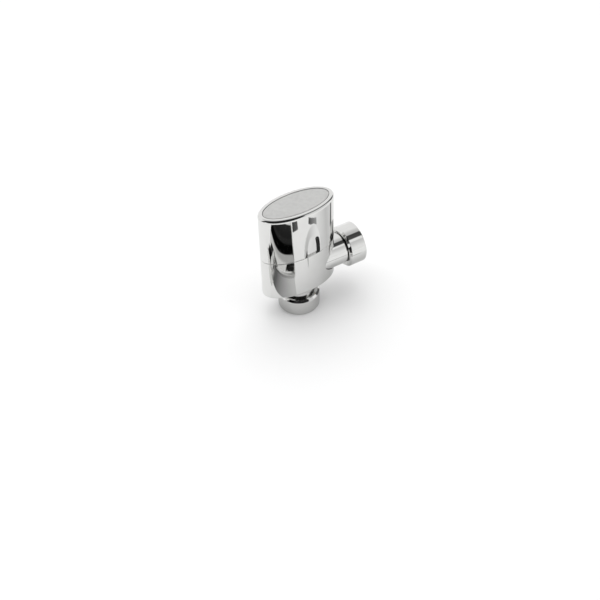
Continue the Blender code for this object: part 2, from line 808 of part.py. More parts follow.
# ---------------------------------------------------------------- head, fixed and sliding pieces
def head_base():
    """Fixed black core: screws onto the bonnet, keys the sensor holder, carries the turning head."""
    collar_bore = BONNET_COLLAR_RADIUS + GAP
    web_bottom, web_top = BONNET_TOP + GAP, 57.0 * MM
    web_hole = 4.4 * MM
    groove_radius = 7.85 * MM
    groove_bottom, groove_top = 75.1 * MM, 76.5 * MM
    outline = [
        (BASE_TUBE_RADIUS, BASE_TOP),
        (BASE_TUBE_RADIUS, groove_top),
        (groove_radius, groove_top),
        (groove_radius, groove_bottom),
        (BASE_TUBE_RADIUS, groove_bottom),
        (BASE_TUBE_RADIUS, BASE_FLANGE_TOP),
        (BASE_FLANGE_RADIUS, BASE_FLANGE_TOP),
        (BASE_FLANGE_RADIUS, BASE_BOTTOM),
        (collar_bore, BASE_BOTTOM),
        (collar_bore, web_bottom),
        (web_hole, web_bottom),
        (web_hole, web_top),
        (BASE_BORE_RADIUS, web_top),
        (BASE_BORE_RADIUS, BASE_TOP),
    ]
    base = turned("head_base", outline, NYLON)
    key_width = LUG_WIDTH + 2.0 * GAP
    key_bottom = LUG_BOTTOM - 2.2 * MM
    key_low = (-key_width / 2.0, -SLEEVE_RADIUS, key_bottom)
    key_high = (key_width / 2.0, SLEEVE_RADIUS, BASE_TOP + CUT_PAST)
    pin_bottom = BASE_BOTTOM + 0.7 * MM
    pin_hole_radius = STOP_PIN_RADIUS + 0.15 * MM
    pin_hole = screw_hole(
        "pin_hole",
        -STOP_TRACK_RADIUS,
        pin_hole_radius,
        pin_bottom - GAP,
        BASE_FLANGE_TOP + CUT_PAST,
    )
    cut(base, add_cutter("key_slots", box_mesh("key_slots", key_low, key_high)), pin_hole)

    pin_top = CARRIER_BOTTOM + 1.0 * MM
    pin = turned("limit_pin", rod_outline(STOP_PIN_RADIUS, pin_bottom, pin_top), STEEL, TINY_STEPS)
    pin.location.x = -STOP_TRACK_RADIUS

    ring_bottom = SLEEVE_TOP + GAP
    ring_thickness = 0.6 * MM
    ring_radius = SLEEVE_RADIUS - 0.2 * MM
    glide_outline = tube_outline(SLEEVE_BORE, ring_radius, ring_bottom, ring_bottom + ring_thickness)
    turned("glide_ring", glide_outline, WHITE_NYLON)

    clip_inner, clip_outer = groove_radius + 0.25 * MM, 9.8 * MM
    clip = turned(
        "head_circlip",
        tube_outline(clip_inner, clip_outer, groove_bottom + GAP, groove_top - GAP),
        STEEL,
    )
    mouth_half = 3.0 * MM
    mouth_low = (0.0, -mouth_half, groove_bottom)
    mouth_high = (clip_outer + CUT_PAST, mouth_half, groove_top)
    cut(clip, add_cutter("circlip_mouth", box_mesh("circlip_mouth", mouth_low, mouth_high)))


def sensor_group():
    """The pieces that the head's thread moves: holder, wax capsule, overtravel spring and cap."""
    floor_thickness = 1.1 * MM
    snout_radius = 3.4 * MM
    snout_bottom = 62.2 * MM
    snout_bore = 1.6 * MM
    snout_bore_top = 64.6 * MM
    holder_outline = [
        (HOLDER_RADIUS, HOLDER_TOP),
        (HOLDER_RADIUS, HOLDER_BOTTOM),
        (snout_radius + GAP, HOLDER_BOTTOM),
        (snout_radius + GAP, HOLDER_BOTTOM + floor_thickness),
        (HOLDER_BORE, HOLDER_BOTTOM + floor_thickness),
        (HOLDER_BORE, HOLDER_TOP),
    ]
    holder = turned("sensor_holder", holder_outline, WHITE_NYLON)
    for side, sign in (("front", -1.0), ("back", 1.0)):
        reach = sorted((sign * (HOLDER_BORE + HOLDER_RADIUS) / 2.0, sign * LUG_REACH))
        low = (-LUG_WIDTH / 2.0, reach[0], LUG_BOTTOM)
        high = (LUG_WIDTH / 2.0, reach[1], LUG_BOTTOM + LUG_HEIGHT)
        join(holder, add_cutter("lug_" + side, box_mesh("lug_" + side, low, high)))

    capsule_outline = [
        (0.0, CAPSULE_TOP),
        (CAPSULE_RADIUS, CAPSULE_TOP),
        (CAPSULE_RADIUS, CAPSULE_BOTTOM),
        (snout_radius, CAPSULE_BOTTOM),
        (snout_radius, snout_bottom),
        (snout_bore, snout_bottom),
        (snout_bore, snout_bore_top),
        (0.0, snout_bore_top),
    ]
    turned("wax_capsule", capsule_outline, COPPER, SMALL_STEPS)

    cap_bottom = 75.6 * MM
    spring_radius, spring_wire, spring_turns = 4.8 * MM, 0.45 * MM, 1.9
    coil(
        "overtravel_spring",
        spring_radius,
        spring_wire,
        CAPSULE_TOP + GAP,
        cap_bottom - GAP,
        spring_turns,
        STEEL,
    )
    turned("holder_cap", rod_outline(HOLDER_BORE - GAP, cap_bottom, HOLDER_TOP), BRASS, SMALL_STEPS)


# ---------------------------------------------------------------- thermostatic head, turning pieces
def head_carrier():
    """Turning inner moulding: an oval plate that closes the head, and a sleeve with the lift thread."""
    inset = HEAD_WALL + GAP
    plate_top = CARRIER_BOTTOM + CARRIER_PLATE
    carrier = add_piece(
        "head_carrier",
        prism_mesh(
            "head_carrier",
            OVAL_LONG - inset,
            OVAL_SHORT - inset,
            CARRIER_BOTTOM,
            plate_top,
            OVAL_STEPS,
        ),
        NYLON,
    )
    sleeve = add_cutter(
        "sleeve",
        prism_mesh("sleeve", SLEEVE_RADIUS, SLEEVE_RADIUS, plate_top - EMBED, SLEEVE_TOP, ROUND_STEPS),
    )
    bore_outline = [
        (0.0, SLEEVE_TOP + CUT_PAST),
        (SLEEVE_THREAD_ROOT, SLEEVE_TOP + CUT_PAST),
        (SLEEVE_THREAD_ROOT, SLEEVE_THREAD_BOTTOM),
        (SLEEVE_BORE, SLEEVE_THREAD_BOTTOM),
        (SLEEVE_BORE, CARRIER_BOTTOM - CUT_PAST),
        (0.0, CARRIER_BOTTOM - CUT_PAST),
    ]
    track_half = 0.75 * MM
    track_top = CARRIER_BOTTOM + 1.3 * MM
    track = turned_cutter(
        "stop_track",
        tube_outline(
            STOP_TRACK_RADIUS - track_half,
            STOP_TRACK_RADIUS + track_half,
            CARRIER_BOTTOM - CUT_PAST,
            track_top,
        ),
    )
    join(carrier, sleeve)
    cut(carrier, turned_cutter("sleeve_bore", bore_outline), track)
    cut(carrier, scoop_tool("scoop_relief", SCOOP_WALL + GAP))
    for side, sign in (("minus", -1.0), ("plus", 1.0)):
        name = "stop_block_" + side
        reach = track_half + GAP / 2.0
        low = (STOP_TRACK_RADIUS - reach, -STOP_BLOCK_WIDTH / 2.0, CARRIER_BOTTOM)
        high = (STOP_TRACK_RADIUS + reach, STOP_BLOCK_WIDTH / 2.0, track_top + GAP)
        block = add_cutter(name, box_mesh(name, low, high))
        block.rotation_euler.z = sign * STOP_BLOCK_ANGLE
        join(carrier, block)
    cut(
        carrier,
        *both_ends(
            lambda side, x: screw_hole(
                "carrier_hole_" + side,
                x,
                SCREW_HOLE_RADIUS,
                CARRIER_BOTTOM - CUT_PAST,
                plate_top + CUT_PAST,
            ),
            HEAD_POST_X,
        ),
    )


def head_casing():
    """Turning oval cap: rounded rim, a recess for the plate, a thumb scoop and two screw posts."""
    bottom = SPLIT_HEIGHT + SPLIT_GAP / 2.0
    outer = prism_mesh(
        "head_casing",
        OVAL_LONG,
        OVAL_SHORT,
        bottom,
        TOP_HEIGHT,
        OVAL_STEPS,
        SPLIT_EDGE_ROUND,
        HEAD_EDGE_ROUND,
    )
    casing = add_piece("head_casing", outer, CHROME)
    hollow = prism_mesh(
        "head_hollow",
        OVAL_LONG - HEAD_WALL,
        OVAL_SHORT - HEAD_WALL,
        bottom - CUT_PAST,
        HEAD_CEILING,
        OVAL_STEPS,
    )
    plate_bottom = TOP_HEIGHT - PLATE_DROP - PLATE_THICKNESS
    recess_floor = plate_bottom - PAD_THICKNESS - 2.0 * GAP
    recess = prism_mesh(
        "plate_recess", PLATE_LONG + GAP, PLATE_SHORT + GAP, recess_floor, TOP_HEIGHT + CUT_PAST, OVAL_STEPS
    )
    cut(casing, add_cutter("head_hollow", hollow), add_cutter("plate_recess", recess))
    within_wall = prism_mesh(
        "within_wall",
        OVAL_LONG - HEAD_WALL + EMBED,
        OVAL_SHORT - HEAD_WALL + EMBED,
        bottom,
        HEAD_CEILING,
        OVAL_STEPS,
    )
    bulge = scoop_tool("scoop_bulge", SCOOP_WALL)
    combine(bulge, add_cutter("within_wall", within_wall), "INTERSECT")
    join(casing, bulge)
    cut(casing, scoop_tool("thumb_scoop", 0.0))
    post_bottom = CARRIER_BOTTOM + CARRIER_PLATE + GAP
    post_top = HEAD_CEILING + EMBED
    hole_top = 68.0 * MM
    rib_half = 0.8 * MM

    def post(side, x):
        name = "post_" + side
        tool = prism_mesh(name, HEAD_POST_RADIUS, HEAD_POST_RADIUS, post_bottom, post_top, SMALL_STEPS)
        column = add_cutter(name, tool)
        column.location.x = x
        wall_x = math.copysign(OVAL_LONG - HEAD_WALL + EMBED, x)
        low = (min(x, wall_x), -rib_half, post_bottom)
        high = (max(x, wall_x), rib_half, post_top)
        rib = add_cutter("rib_" + side, box_mesh("rib_" + side, low, high))
        hole = screw_hole("post_hole_" + side, x, SCREW_HOLE_RADIUS, post_bottom - CUT_PAST, hole_top)
        join(casing, column, rib)
        cut(casing, hole)

    def screw(side, x):
        head_radius = 2.5 * MM
        head_top = CARRIER_BOTTOM - GAP
        head_bottom = head_top - 1.4 * MM
        shank_top = hole_top - 4.0 * MM
        outline = [
            (0.0, shank_top),
            (SCREW_RADIUS, shank_top),
            (SCREW_RADIUS, head_top),
            (head_radius, head_top),
            (head_radius, head_bottom),
            (0.0, head_bottom),
        ]
        piece = turned("head_screw_" + side, outline, STEEL, TINY_STEPS)
        piece.location.x = x
        slot_width, slot_depth = 0.6 * MM, 0.6 * MM
        cut(
            piece,
            slot_cutter(
                "head_slot_" + side,
                x,
                head_bottom - CUT_PAST,
                head_bottom + slot_depth,
                slot_width,
                2.0 * (head_radius + CUT_PAST),
            ),
        )

    both_ends(post, HEAD_POST_X)
    both_ends(screw, HEAD_POST_X)
    add_piece(
        "top_plate",
        prism_mesh(
            "top_plate",
            PLATE_LONG,
            PLATE_SHORT,
            plate_bottom,
            plate_bottom + PLATE_THICKNESS,
            OVAL_STEPS,
        ),
        SATIN,
    )
    pad_bottom = recess_floor + GAP
    add_piece(
        "plate_pad",
        prism_mesh(
            "plate_pad",
            PLATE_LONG - PAD_INSET,
            PLATE_SHORT - PAD_INSET,
            pad_bottom,
            pad_bottom + PAD_THICKNESS,
            OVAL_STEPS,
        ),
        RUBBER,
    )


valve_body()
lower_casing()
casing_plate()
bonnet()
stem_group()
head_base()
sensor_group()
head_carrier()
head_casing()
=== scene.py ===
"""Looks of the chromed thermostatic radiator valve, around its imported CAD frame. Lengths are in metres."""
import math

import bmesh
import bpy
import numpy as np
from mathutils import Matrix, Vector


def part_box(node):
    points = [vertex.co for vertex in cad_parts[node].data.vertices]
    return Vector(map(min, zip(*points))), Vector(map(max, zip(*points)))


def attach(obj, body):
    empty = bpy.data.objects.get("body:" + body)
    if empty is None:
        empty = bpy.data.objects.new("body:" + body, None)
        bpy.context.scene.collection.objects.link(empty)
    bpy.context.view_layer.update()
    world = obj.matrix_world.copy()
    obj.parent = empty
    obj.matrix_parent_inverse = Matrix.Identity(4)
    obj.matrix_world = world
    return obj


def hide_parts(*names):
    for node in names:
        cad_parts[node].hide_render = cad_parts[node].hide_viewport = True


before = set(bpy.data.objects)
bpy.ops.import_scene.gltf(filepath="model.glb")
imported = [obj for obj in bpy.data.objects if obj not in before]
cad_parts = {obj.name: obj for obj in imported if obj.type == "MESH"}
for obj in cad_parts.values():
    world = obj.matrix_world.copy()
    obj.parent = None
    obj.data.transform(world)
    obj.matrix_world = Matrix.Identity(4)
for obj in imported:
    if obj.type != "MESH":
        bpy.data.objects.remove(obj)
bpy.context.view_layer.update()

MM = 0.001

# ---------------------------------------------------------------- sizes read from the frame
nut_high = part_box("inlet_nut")[1]
lower_low, lower_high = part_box("lower_casing")
head_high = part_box("head_casing")[1]
plate_low, plate_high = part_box("top_plate")
pad_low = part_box("plate_pad")[0]
olive_low, olive_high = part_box("inlet_olive")
inlet_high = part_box("inlet_spigot")[1]
outlet_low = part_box("outlet_spigot")[0]
outlet_nut_low, outlet_nut_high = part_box("outlet_nut")
carrier_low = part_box("head_carrier")[0]
post_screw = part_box("head_screw_right")

NUT_RADIUS = nut_high.x
NUT_LENGTH = nut_high.z
OVAL_LONG = lower_high.x
OVAL_SHORT = lower_high.y
NECK_RADIUS = inlet_high.x
PORT_HEIGHT = (outlet_nut_low.z + outlet_nut_high.z) / 2.0
OUTLET_REACH = outlet_nut_high.x
PLATE_INSET = OVAL_LONG - plate_high.x

# ---------------------------------------------------------------- sizes that repeat the frame's own
PIPE_RADIUS = 7.5 * MM
THREAD_RADIUS = 9.9 * MM
FIT_GAP = 0.3 * MM
LOWER_WALL = 1.5 * MM
LOWER_FLOOR = 1.8 * MM
LOWER_EDGE_ROUND = 1.2 * MM
HEAD_WALL = 1.3 * MM
HEAD_CEILING = 78.6 * MM
HEAD_EDGE_ROUND = 2.0 * MM
RIM_EDGE_ROUND = 0.25 * MM
CASING_HOLE_RADIUS = NECK_RADIUS + 0.35 * MM
CARRIER_TOP = carrier_low.z + 2.0 * MM
SHELF_LOW = 43.2 * MM
SHELF_HIGH = 45.5 * MM
SHELF_INNER_X = 15.5 * MM
CASING_SCREW_X = 19.5 * MM
INLET_TAIL_RADIUS = 8.3 * MM
INLET_WATERWAY = 6.0 * MM
OUTLET_TAIL_RADIUS = 5.9 * MM
OUTLET_WATERWAY = 4.2 * MM

# ---------------------------------------------------------------- sizes drawn here only
# The solids have plain threads, a bowl for a scoop and a wider gap at the joint line.
THREAD_PITCH = 1.814 * MM
THREAD_DEPTH = 0.45 * MM
SCOOP_X = 3.9 * MM
SCOOP_Z = 50.0 * MM
SCOOP_HALF_WIDTH = 5.9 * MM
SCOOP_HALF_HEIGHT = 22.3 * MM
SCOOP_DEPTH = 1.3 * MM
SCOOP_WALL = 0.3 * MM
SCOOP_SIDE_SHARE = 0.45
SCOOP_SIDE_BLEND = 0.12
SCOOP_EDGE_ROUND = 0.16 * MM
JOINT_GAP = 0.12 * MM

# ---------------------------------------------------------------- resolution of the fine surfaces
TURN_STEPS = 160
OVAL_STEPS = 240
SCOOP_STEP = 0.45 * MM
SCOOP_ANGLES = (math.radians(-106.0), math.radians(-52.0))
ARC_STEP = math.radians(12.0)
STRAIGHT_STEP = 1.6 * MM
THREAD_STEP = THREAD_PITCH / 10.0
WELD = 1e-7

QUARTER_TURN = math.pi / 2.0
INLET_PLACE = Matrix.Identity(4)
OUTLET_PLACE = Matrix.Translation((OUTLET_REACH, 0.0, PORT_HEIGHT)) @ Matrix.Rotation(-QUARTER_TURN, 4, "Y")


# ---------------------------------------------------------------- surfaces with exact normals
def unit(vectors):
    """Vectors scaled to length one; a zero vector stays zero."""
    length = np.linalg.norm(vectors, axis=-1, keepdims=True)
    return vectors / np.where(length > 0.0, length, 1.0)


class Surface:
    """Grids of points with their exact normals, joined where their points meet."""

    def __init__(self):
        self.points = []
        self.normals = []
        self.faces = []
        self.count = 0

    def add(self, points, normals, closed_rows=False):
        """A grid whose columns close on themselves; its rows do too when closed_rows is true."""
        rows, columns = points.shape[:2]
        index = np.arange(rows * columns).reshape(rows, columns) + self.count
        this_row = index if closed_rows else index[:-1]
        next_row = np.roll(index, -1, axis=0) if closed_rows else index[1:]
        corners = (this_row, np.roll(this_row, -1, axis=1), np.roll(next_row, -1, axis=1), next_row)
        self.faces.extend(np.stack(corners, axis=-1).reshape(-1, 4).tolist())
        self.points.append(points.reshape(-1, 3))
        self.normals.append(unit(normals).reshape(-1, 3))
        self.count += rows * columns

    def build(self, name, place=INLET_PLACE):
        """The welded mesh object, with its faces turned outwards and the exact normals on its points."""
        matrix = np.array(place)
        points = np.concatenate(self.points) @ matrix[:3, :3].T + matrix[:3, 3]
        normals = np.concatenate(self.normals) @ matrix[:3, :3].T
        keys = np.round(points / WELD).astype(np.int64)
        _, first, welded = np.unique(keys, axis=0, return_index=True, return_inverse=True)
        welded = welded.reshape(-1)
        faces = [list(dict.fromkeys(welded[face].tolist())) for face in np.array(self.faces)]
        mesh = bpy.data.meshes.new(name)
        mesh.from_pydata(points[first].tolist(), [], [face for face in faces if len(face) > 2])
        turn_outwards(mesh)
        mesh.shade_smooth()
        own = np.zeros(len(first) * 3)
        mesh.vertices.foreach_get("normal", own)
        exact = normals[first]
        exact *= np.where((exact * own.reshape(-1, 3)).sum(axis=1, keepdims=True) < 0.0, -1.0, 1.0)
        mesh.normals_split_custom_set_from_vertices(exact.tolist())
        piece = bpy.data.objects.new(name, mesh)
        bpy.context.scene.collection.objects.link(piece)
        return piece


def turn_outwards(mesh):
    """Makes every face of a closed mesh point outwards."""
    form = bmesh.new()
    form.from_mesh(mesh)
    bmesh.ops.recalc_face_normals(form, faces=form.faces)
    form.to_mesh(mesh)
    form.free()


# ---------------------------------------------------------------- outlines with rounded corners
def rounded_outline(corners, closed=True, straight_step=STRAIGHT_STEP):
    """Points and directions of travel along an outline of (offset, height, rounding) corners."""
    points, directions = [], []
    for i, (offset, height, rounding) in enumerate(corners):
        here = np.array((offset, height))
        arrive = unit(here - np.array(corners[i - 1][:2]))
        leave = unit(np.array(corners[(i + 1) % len(corners)][:2]) - here)
        if not closed and i in (0, len(corners) - 1):
            points.append(here)
            directions.append(leave if i == 0 else arrive)
            continue
        turn = math.acos(max(-1.0, min(1.0, arrive @ leave)))
        inward = unit(leave - arrive * (arrive @ leave))
        centre = here - arrive * rounding * math.tan(turn / 2.0) + inward * rounding
        steps = max(1, math.ceil(turn / ARC_STEP))
        for angle in np.linspace(0.0, turn, steps + 1):
            points.append(centre + rounding * (arrive * math.sin(angle) - inward * math.cos(angle)))
            directions.append(arrive * math.cos(angle) + inward * math.sin(angle))
    return fill_straights(points, directions, closed, straight_step)


def fill_straights(points, directions, closed, straight_step):
    """Adds points along the straight stretches, more closely where a screw thread goes."""
    full_points, full_directions = [], []
    for i, here in enumerate(points):
        full_points.append(here)
        full_directions.append(directions[i])
        if not closed and i == len(points) - 1:
            break
        there = points[(i + 1) % len(points)]
        on_thread = is_threaded(here[0]) and is_threaded(there[0])
        pieces = math.ceil(np.linalg.norm(there - here) / (THREAD_STEP if on_thread else straight_step))
        for k in range(1, pieces):
            full_points.append(here + (there - here) * k / pieces)
            full_directions.append(unit(there - here))
    return np.array(full_points), np.array(full_directions)


def is_threaded(radius):
    """Whether a screw thread is cut at this radius."""
    return any(abs(radius - thread) < WELD for thread in (THREAD_RADIUS, THREAD_RADIUS + FIT_GAP))


def even_angles(steps):
    """Evenly spaced angles round a full turn."""
    return np.arange(steps) * 2.0 * math.pi / steps


def sweep(outline, long_half, short_half, angle):
    """Grid of points and normals from an outline swept round an oval; its offsets add to both half axes."""
    points, directions = outline
    cosine, sine = np.cos(angle)[None, :], np.sin(angle)[None, :]
    long_side, short_side = long_half + points[:, :1], short_half + points[:, :1]
    out, up = directions[:, :1], directions[:, 1:]
    height = points[:, 1:] + 0.0 * cosine
    grid = np.stack((long_side * cosine, short_side * sine, height), axis=-1)
    facing = -out * (long_side * sine**2 + short_side * cosine**2)
    normals = np.stack((short_side * cosine * up, long_side * sine * up, facing), axis=-1)
    flat = np.linalg.norm(normals, axis=-1) < WELD
    normals[flat] = (0.0, 0.0, 1.0)
    return grid, normals


def turned_piece(name, corners, place):
    """A piece turned from a closed outline of (radius, height, rounding) corners."""
    surface = Surface()
    grid, normals = sweep(rounded_outline(corners), 0.0, 0.0, even_angles(TURN_STEPS))
    surface.add(grid, normals, closed_rows=True)
    return surface.build(name, place)


# ---------------------------------------------------------------- screw threads
def thread_groove(height, angle, low, high):
    """Depth of a pipe thread's groove at a height and an angle, fading out at both ends."""
    crest_share, flank_share = 0.12, 0.76
    fade_length = 0.5 * THREAD_PITCH
    phase = (height / THREAD_PITCH - angle / (2.0 * math.pi)) % 1.0
    ridge = np.abs(2.0 * phase - 1.0)
    wave = np.clip((ridge - crest_share) / flank_share, 0.0, 1.0)
    fade = np.clip(np.minimum(height - low, high - height) / fade_length, 0.0, 1.0)
    return THREAD_DEPTH * wave * fade


def cut_thread(grid, normals, radius, low, high, inward):
    """Cuts a helical groove into the rows of a turned grid that lie at this radius, in place."""
    nudge = 0.01 * MM
    reach = np.hypot(grid[..., 0], grid[..., 1])
    rows = (np.abs(reach[:, 0] - radius) < WELD) & (grid[:, 0, 2] > low) & (grid[:, 0, 2] < high)
    angle = np.arctan2(grid[rows, :, 1], grid[rows, :, 0])
    height = grid[rows, :, 2]
    side = -1.0 if inward else 1.0

    def radius_at(z, a):
        return radius + side * thread_groove(z, a, low, high)

    new = radius_at(height, angle)
    slope_up = (radius_at(height + nudge, angle) - radius_at(height - nudge, angle)) / (2.0 * nudge)
    swing = nudge / radius
    slope_round = (radius_at(height, angle + swing) - radius_at(height, angle - swing)) / (2.0 * swing)
    cosine, sine = np.cos(angle), np.sin(angle)
    grid[rows] = np.stack((new * cosine, new * sine, height), axis=-1)
    normals[rows] = np.stack(
        (new * cosine + slope_round * sine, new * sine - slope_round * cosine, -new * slope_up), axis=-1
    )


def threaded_piece(name, corners, place, radius, low, high, inward):
    """A turned piece with a screw thread cut at one radius, between two heights."""
    surface = Surface()
    grid, normals = sweep(rounded_outline(corners), 0.0, 0.0, even_angles(TURN_STEPS))
    cut_thread(grid, normals, radius, low, high, inward)
    surface.add(grid, normals, closed_rows=True)
    return surface.build(name, place)


# ---------------------------------------------------------------- nuts, olives and spigots
# Port pieces are drawn upright, with their height measured inwards from the nut's outer face.
def fine_nut(name, place):
    """Round union nut with a rolled front edge, a back chamfer, an olive cone and a screw thread."""
    pipe_hole = PIPE_RADIUS + 0.25 * MM
    front_wall = 2.0 * MM
    cone_radius = 9.2 * MM
    thread_bore = THREAD_RADIUS + FIT_GAP
    cone_end = front_wall + cone_radius - pipe_hole
    recess_radius = 11.2 * MM
    recess_start = NUT_LENGTH - 1.0 * MM
    back_chamfer = 1.3 * MM
    fine = 0.1 * MM
    corners = [
        (NUT_RADIUS - back_chamfer, NUT_LENGTH, 2.0 * fine),
        (NUT_RADIUS, NUT_LENGTH - back_chamfer, 4.0 * fine),
        (NUT_RADIUS, 0.0, 7.0 * fine),
        (pipe_hole, 0.0, 2.5 * fine),
        (pipe_hole, front_wall, fine),
        (cone_radius, cone_end, fine),
        (thread_bore, cone_end, fine),
        (thread_bore, recess_start, fine),
        (recess_radius, recess_start, fine),
        (recess_radius, NUT_LENGTH, fine),
    ]
    thread_low, thread_high = cone_end + fine, recess_start - fine
    return threaded_piece(name, corners, place, thread_bore, thread_low, thread_high, inward=False)


def fine_olive(name, place):
    """Barrel-shaped compression ring with a smoothly crowned outside."""
    start, end = olive_low.z, olive_high.z
    bore = PIPE_RADIUS + 0.1 * MM
    end_radius = 7.95 * MM
    crown_radius = olive_high.x
    edge = 0.1 * MM
    crown_round = 3.0 * MM
    crown_rise = 0.12 * MM
    corners = [
        (end_radius, end, edge),
        (crown_radius + crown_rise, (start + end) / 2.0, crown_round),
        (end_radius, start, edge),
        (bore, start, edge),
        (bore, end, edge),
    ]
    return turned_piece(name, corners, place)


def fine_spigot(name, place, tail_radius, shoulder, tail_end, waterway):
    """Screwed-in port: threaded mouth with an olive cone, polished neck and a tail in the valve body."""
    mouth = 5.0 * MM
    cone_radius = 9.4 * MM
    socket_radius = PIPE_RADIUS + 0.15 * MM
    cone_end = 9.0 * MM
    pipe_stop = 16.0 * MM
    neck_start = 11.1 * MM
    fine = 0.1 * MM
    corners = [
        (tail_radius, tail_end, fine),
        (tail_radius, shoulder, fine),
        (NECK_RADIUS, shoulder, 2.0 * fine),
        (NECK_RADIUS, neck_start, 1.5 * fine),
        (THREAD_RADIUS, neck_start, fine),
        (THREAD_RADIUS, mouth, 3.0 * fine),
        (cone_radius, mouth, fine),
        (socket_radius, cone_end, 2.0 * fine),
        (socket_radius, pipe_stop, fine),
        (waterway, pipe_stop, fine),
        (waterway, tail_end, fine),
    ]
    thread_low, thread_high = mouth + 3.0 * fine, neck_start - fine
    return threaded_piece(name, corners, place, THREAD_RADIUS, thread_low, thread_high, inward=True)


# ---------------------------------------------------------------- oval casings and plate
def add_oval_strip(surface, corners):
    """Adds the open strip that an outline of corners makes when it is swept round the casing's oval."""
    outline = rounded_outline(corners, closed=False)
    surface.add(*sweep(outline, OVAL_LONG, OVAL_SHORT, even_angles(OVAL_STEPS)))


def oval_normal(angle, long_half, short_half):
    """Outward normals of an oval's upright wall."""
    return unit(np.stack((np.cos(angle) / long_half, np.sin(angle) / short_half, 0.0 * angle), axis=-1))


def wall_with_port(surface, long_half, short_half, low, high, hole_radius):
    """An oval's upright wall with a round port in its +X end; returns the port edge's row and angles.

    The half that faces +X is a ring of rows between the port and that half's border, and the other half is
    a plain grid. Both share their border points with the sweeps above and below.
    """
    ring_rows, crowding = 15, 1.4
    quarter = OVAL_STEPS // 4
    levels = math.ceil((high - low) / STRAIGHT_STEP)
    heights = np.linspace(low, high, levels + 1)
    step = 2.0 * math.pi / OVAL_STEPS
    across = np.arange(-quarter, quarter + 1) * step
    border_angle = np.concatenate(
        (across[:-1], np.full(levels, across[-1]), across[:0:-1], np.full(levels, across[0]))
    )
    border_height = np.concatenate(
        (np.full(2 * quarter, low), heights[:-1], np.full(2 * quarter, high), heights[:0:-1])
    )
    half_width = math.asin(hole_radius / short_half)
    round_angle = np.arctan2((border_height - PORT_HEIGHT) / hole_radius, border_angle / half_width)
    hole_y = hole_radius * np.cos(round_angle)
    hole_angle = np.arcsin(hole_y / short_half)
    hole_height = PORT_HEIGHT + hole_radius * np.sin(round_angle)
    share = np.linspace(0.0, 1.0, ring_rows)[:, None] ** crowding
    angle = hole_angle + (border_angle - hole_angle) * share
    height = hole_height + (border_height - hole_height) * share
    ring = np.stack((long_half * np.cos(angle), short_half * np.sin(angle), height), axis=-1)
    surface.add(ring, oval_normal(angle, long_half, short_half))
    back = np.arange(quarter, OVAL_STEPS - quarter + 1) * step
    angle, height = np.meshgrid(back, heights)
    grid = np.stack((long_half * np.cos(angle), short_half * np.sin(angle), height), axis=-1)
    add_open_grid(surface, grid, oval_normal(angle, long_half, short_half))
    return ring[0], oval_normal(hole_angle, long_half, short_half), round_angle


def add_open_grid(surface, points, normals):
    """A grid that closes in neither direction."""
    rows, columns = points.shape[:2]
    index = np.arange(rows * columns).reshape(rows, columns) + surface.count
    corners = (index[:-1, :-1], index[:-1, 1:], index[1:, 1:], index[1:, :-1])
    surface.faces.extend(np.stack(corners, axis=-1).reshape(-1, 4).tolist())
    surface.points.append(points.reshape(-1, 3))
    surface.normals.append(normals.reshape(-1, 3))
    surface.count += rows * columns


def port_lip(wall_points, wall_normals, round_angle, long_half, short_half, depth):
    """Rows that round the edge between the wall and the port's bore, from the wall inwards."""
    lip_rows = 7
    bore_y = CASING_HOLE_RADIUS * np.cos(round_angle)
    bore_z = PORT_HEIGHT + CASING_HOLE_RADIUS * np.sin(round_angle)
    edge_x = long_half * np.sqrt(1.0 - (bore_y / short_half) ** 2)
    edge = np.stack((edge_x, bore_y, bore_z), axis=-1)
    inside = edge + np.array((depth, 0.0, 0.0))
    bore_normals = np.stack((0.0 * round_angle, -np.cos(round_angle), -np.sin(round_angle)), axis=-1)
    share = np.linspace(0.0, 1.0, lip_rows)[:, None, None]
    rows = (1.0 - share) ** 2 * wall_points + 2.0 * share * (1.0 - share) * edge + share**2 * inside
    normals = (1.0 - share) * wall_normals + share * bore_normals
    return rows, normals


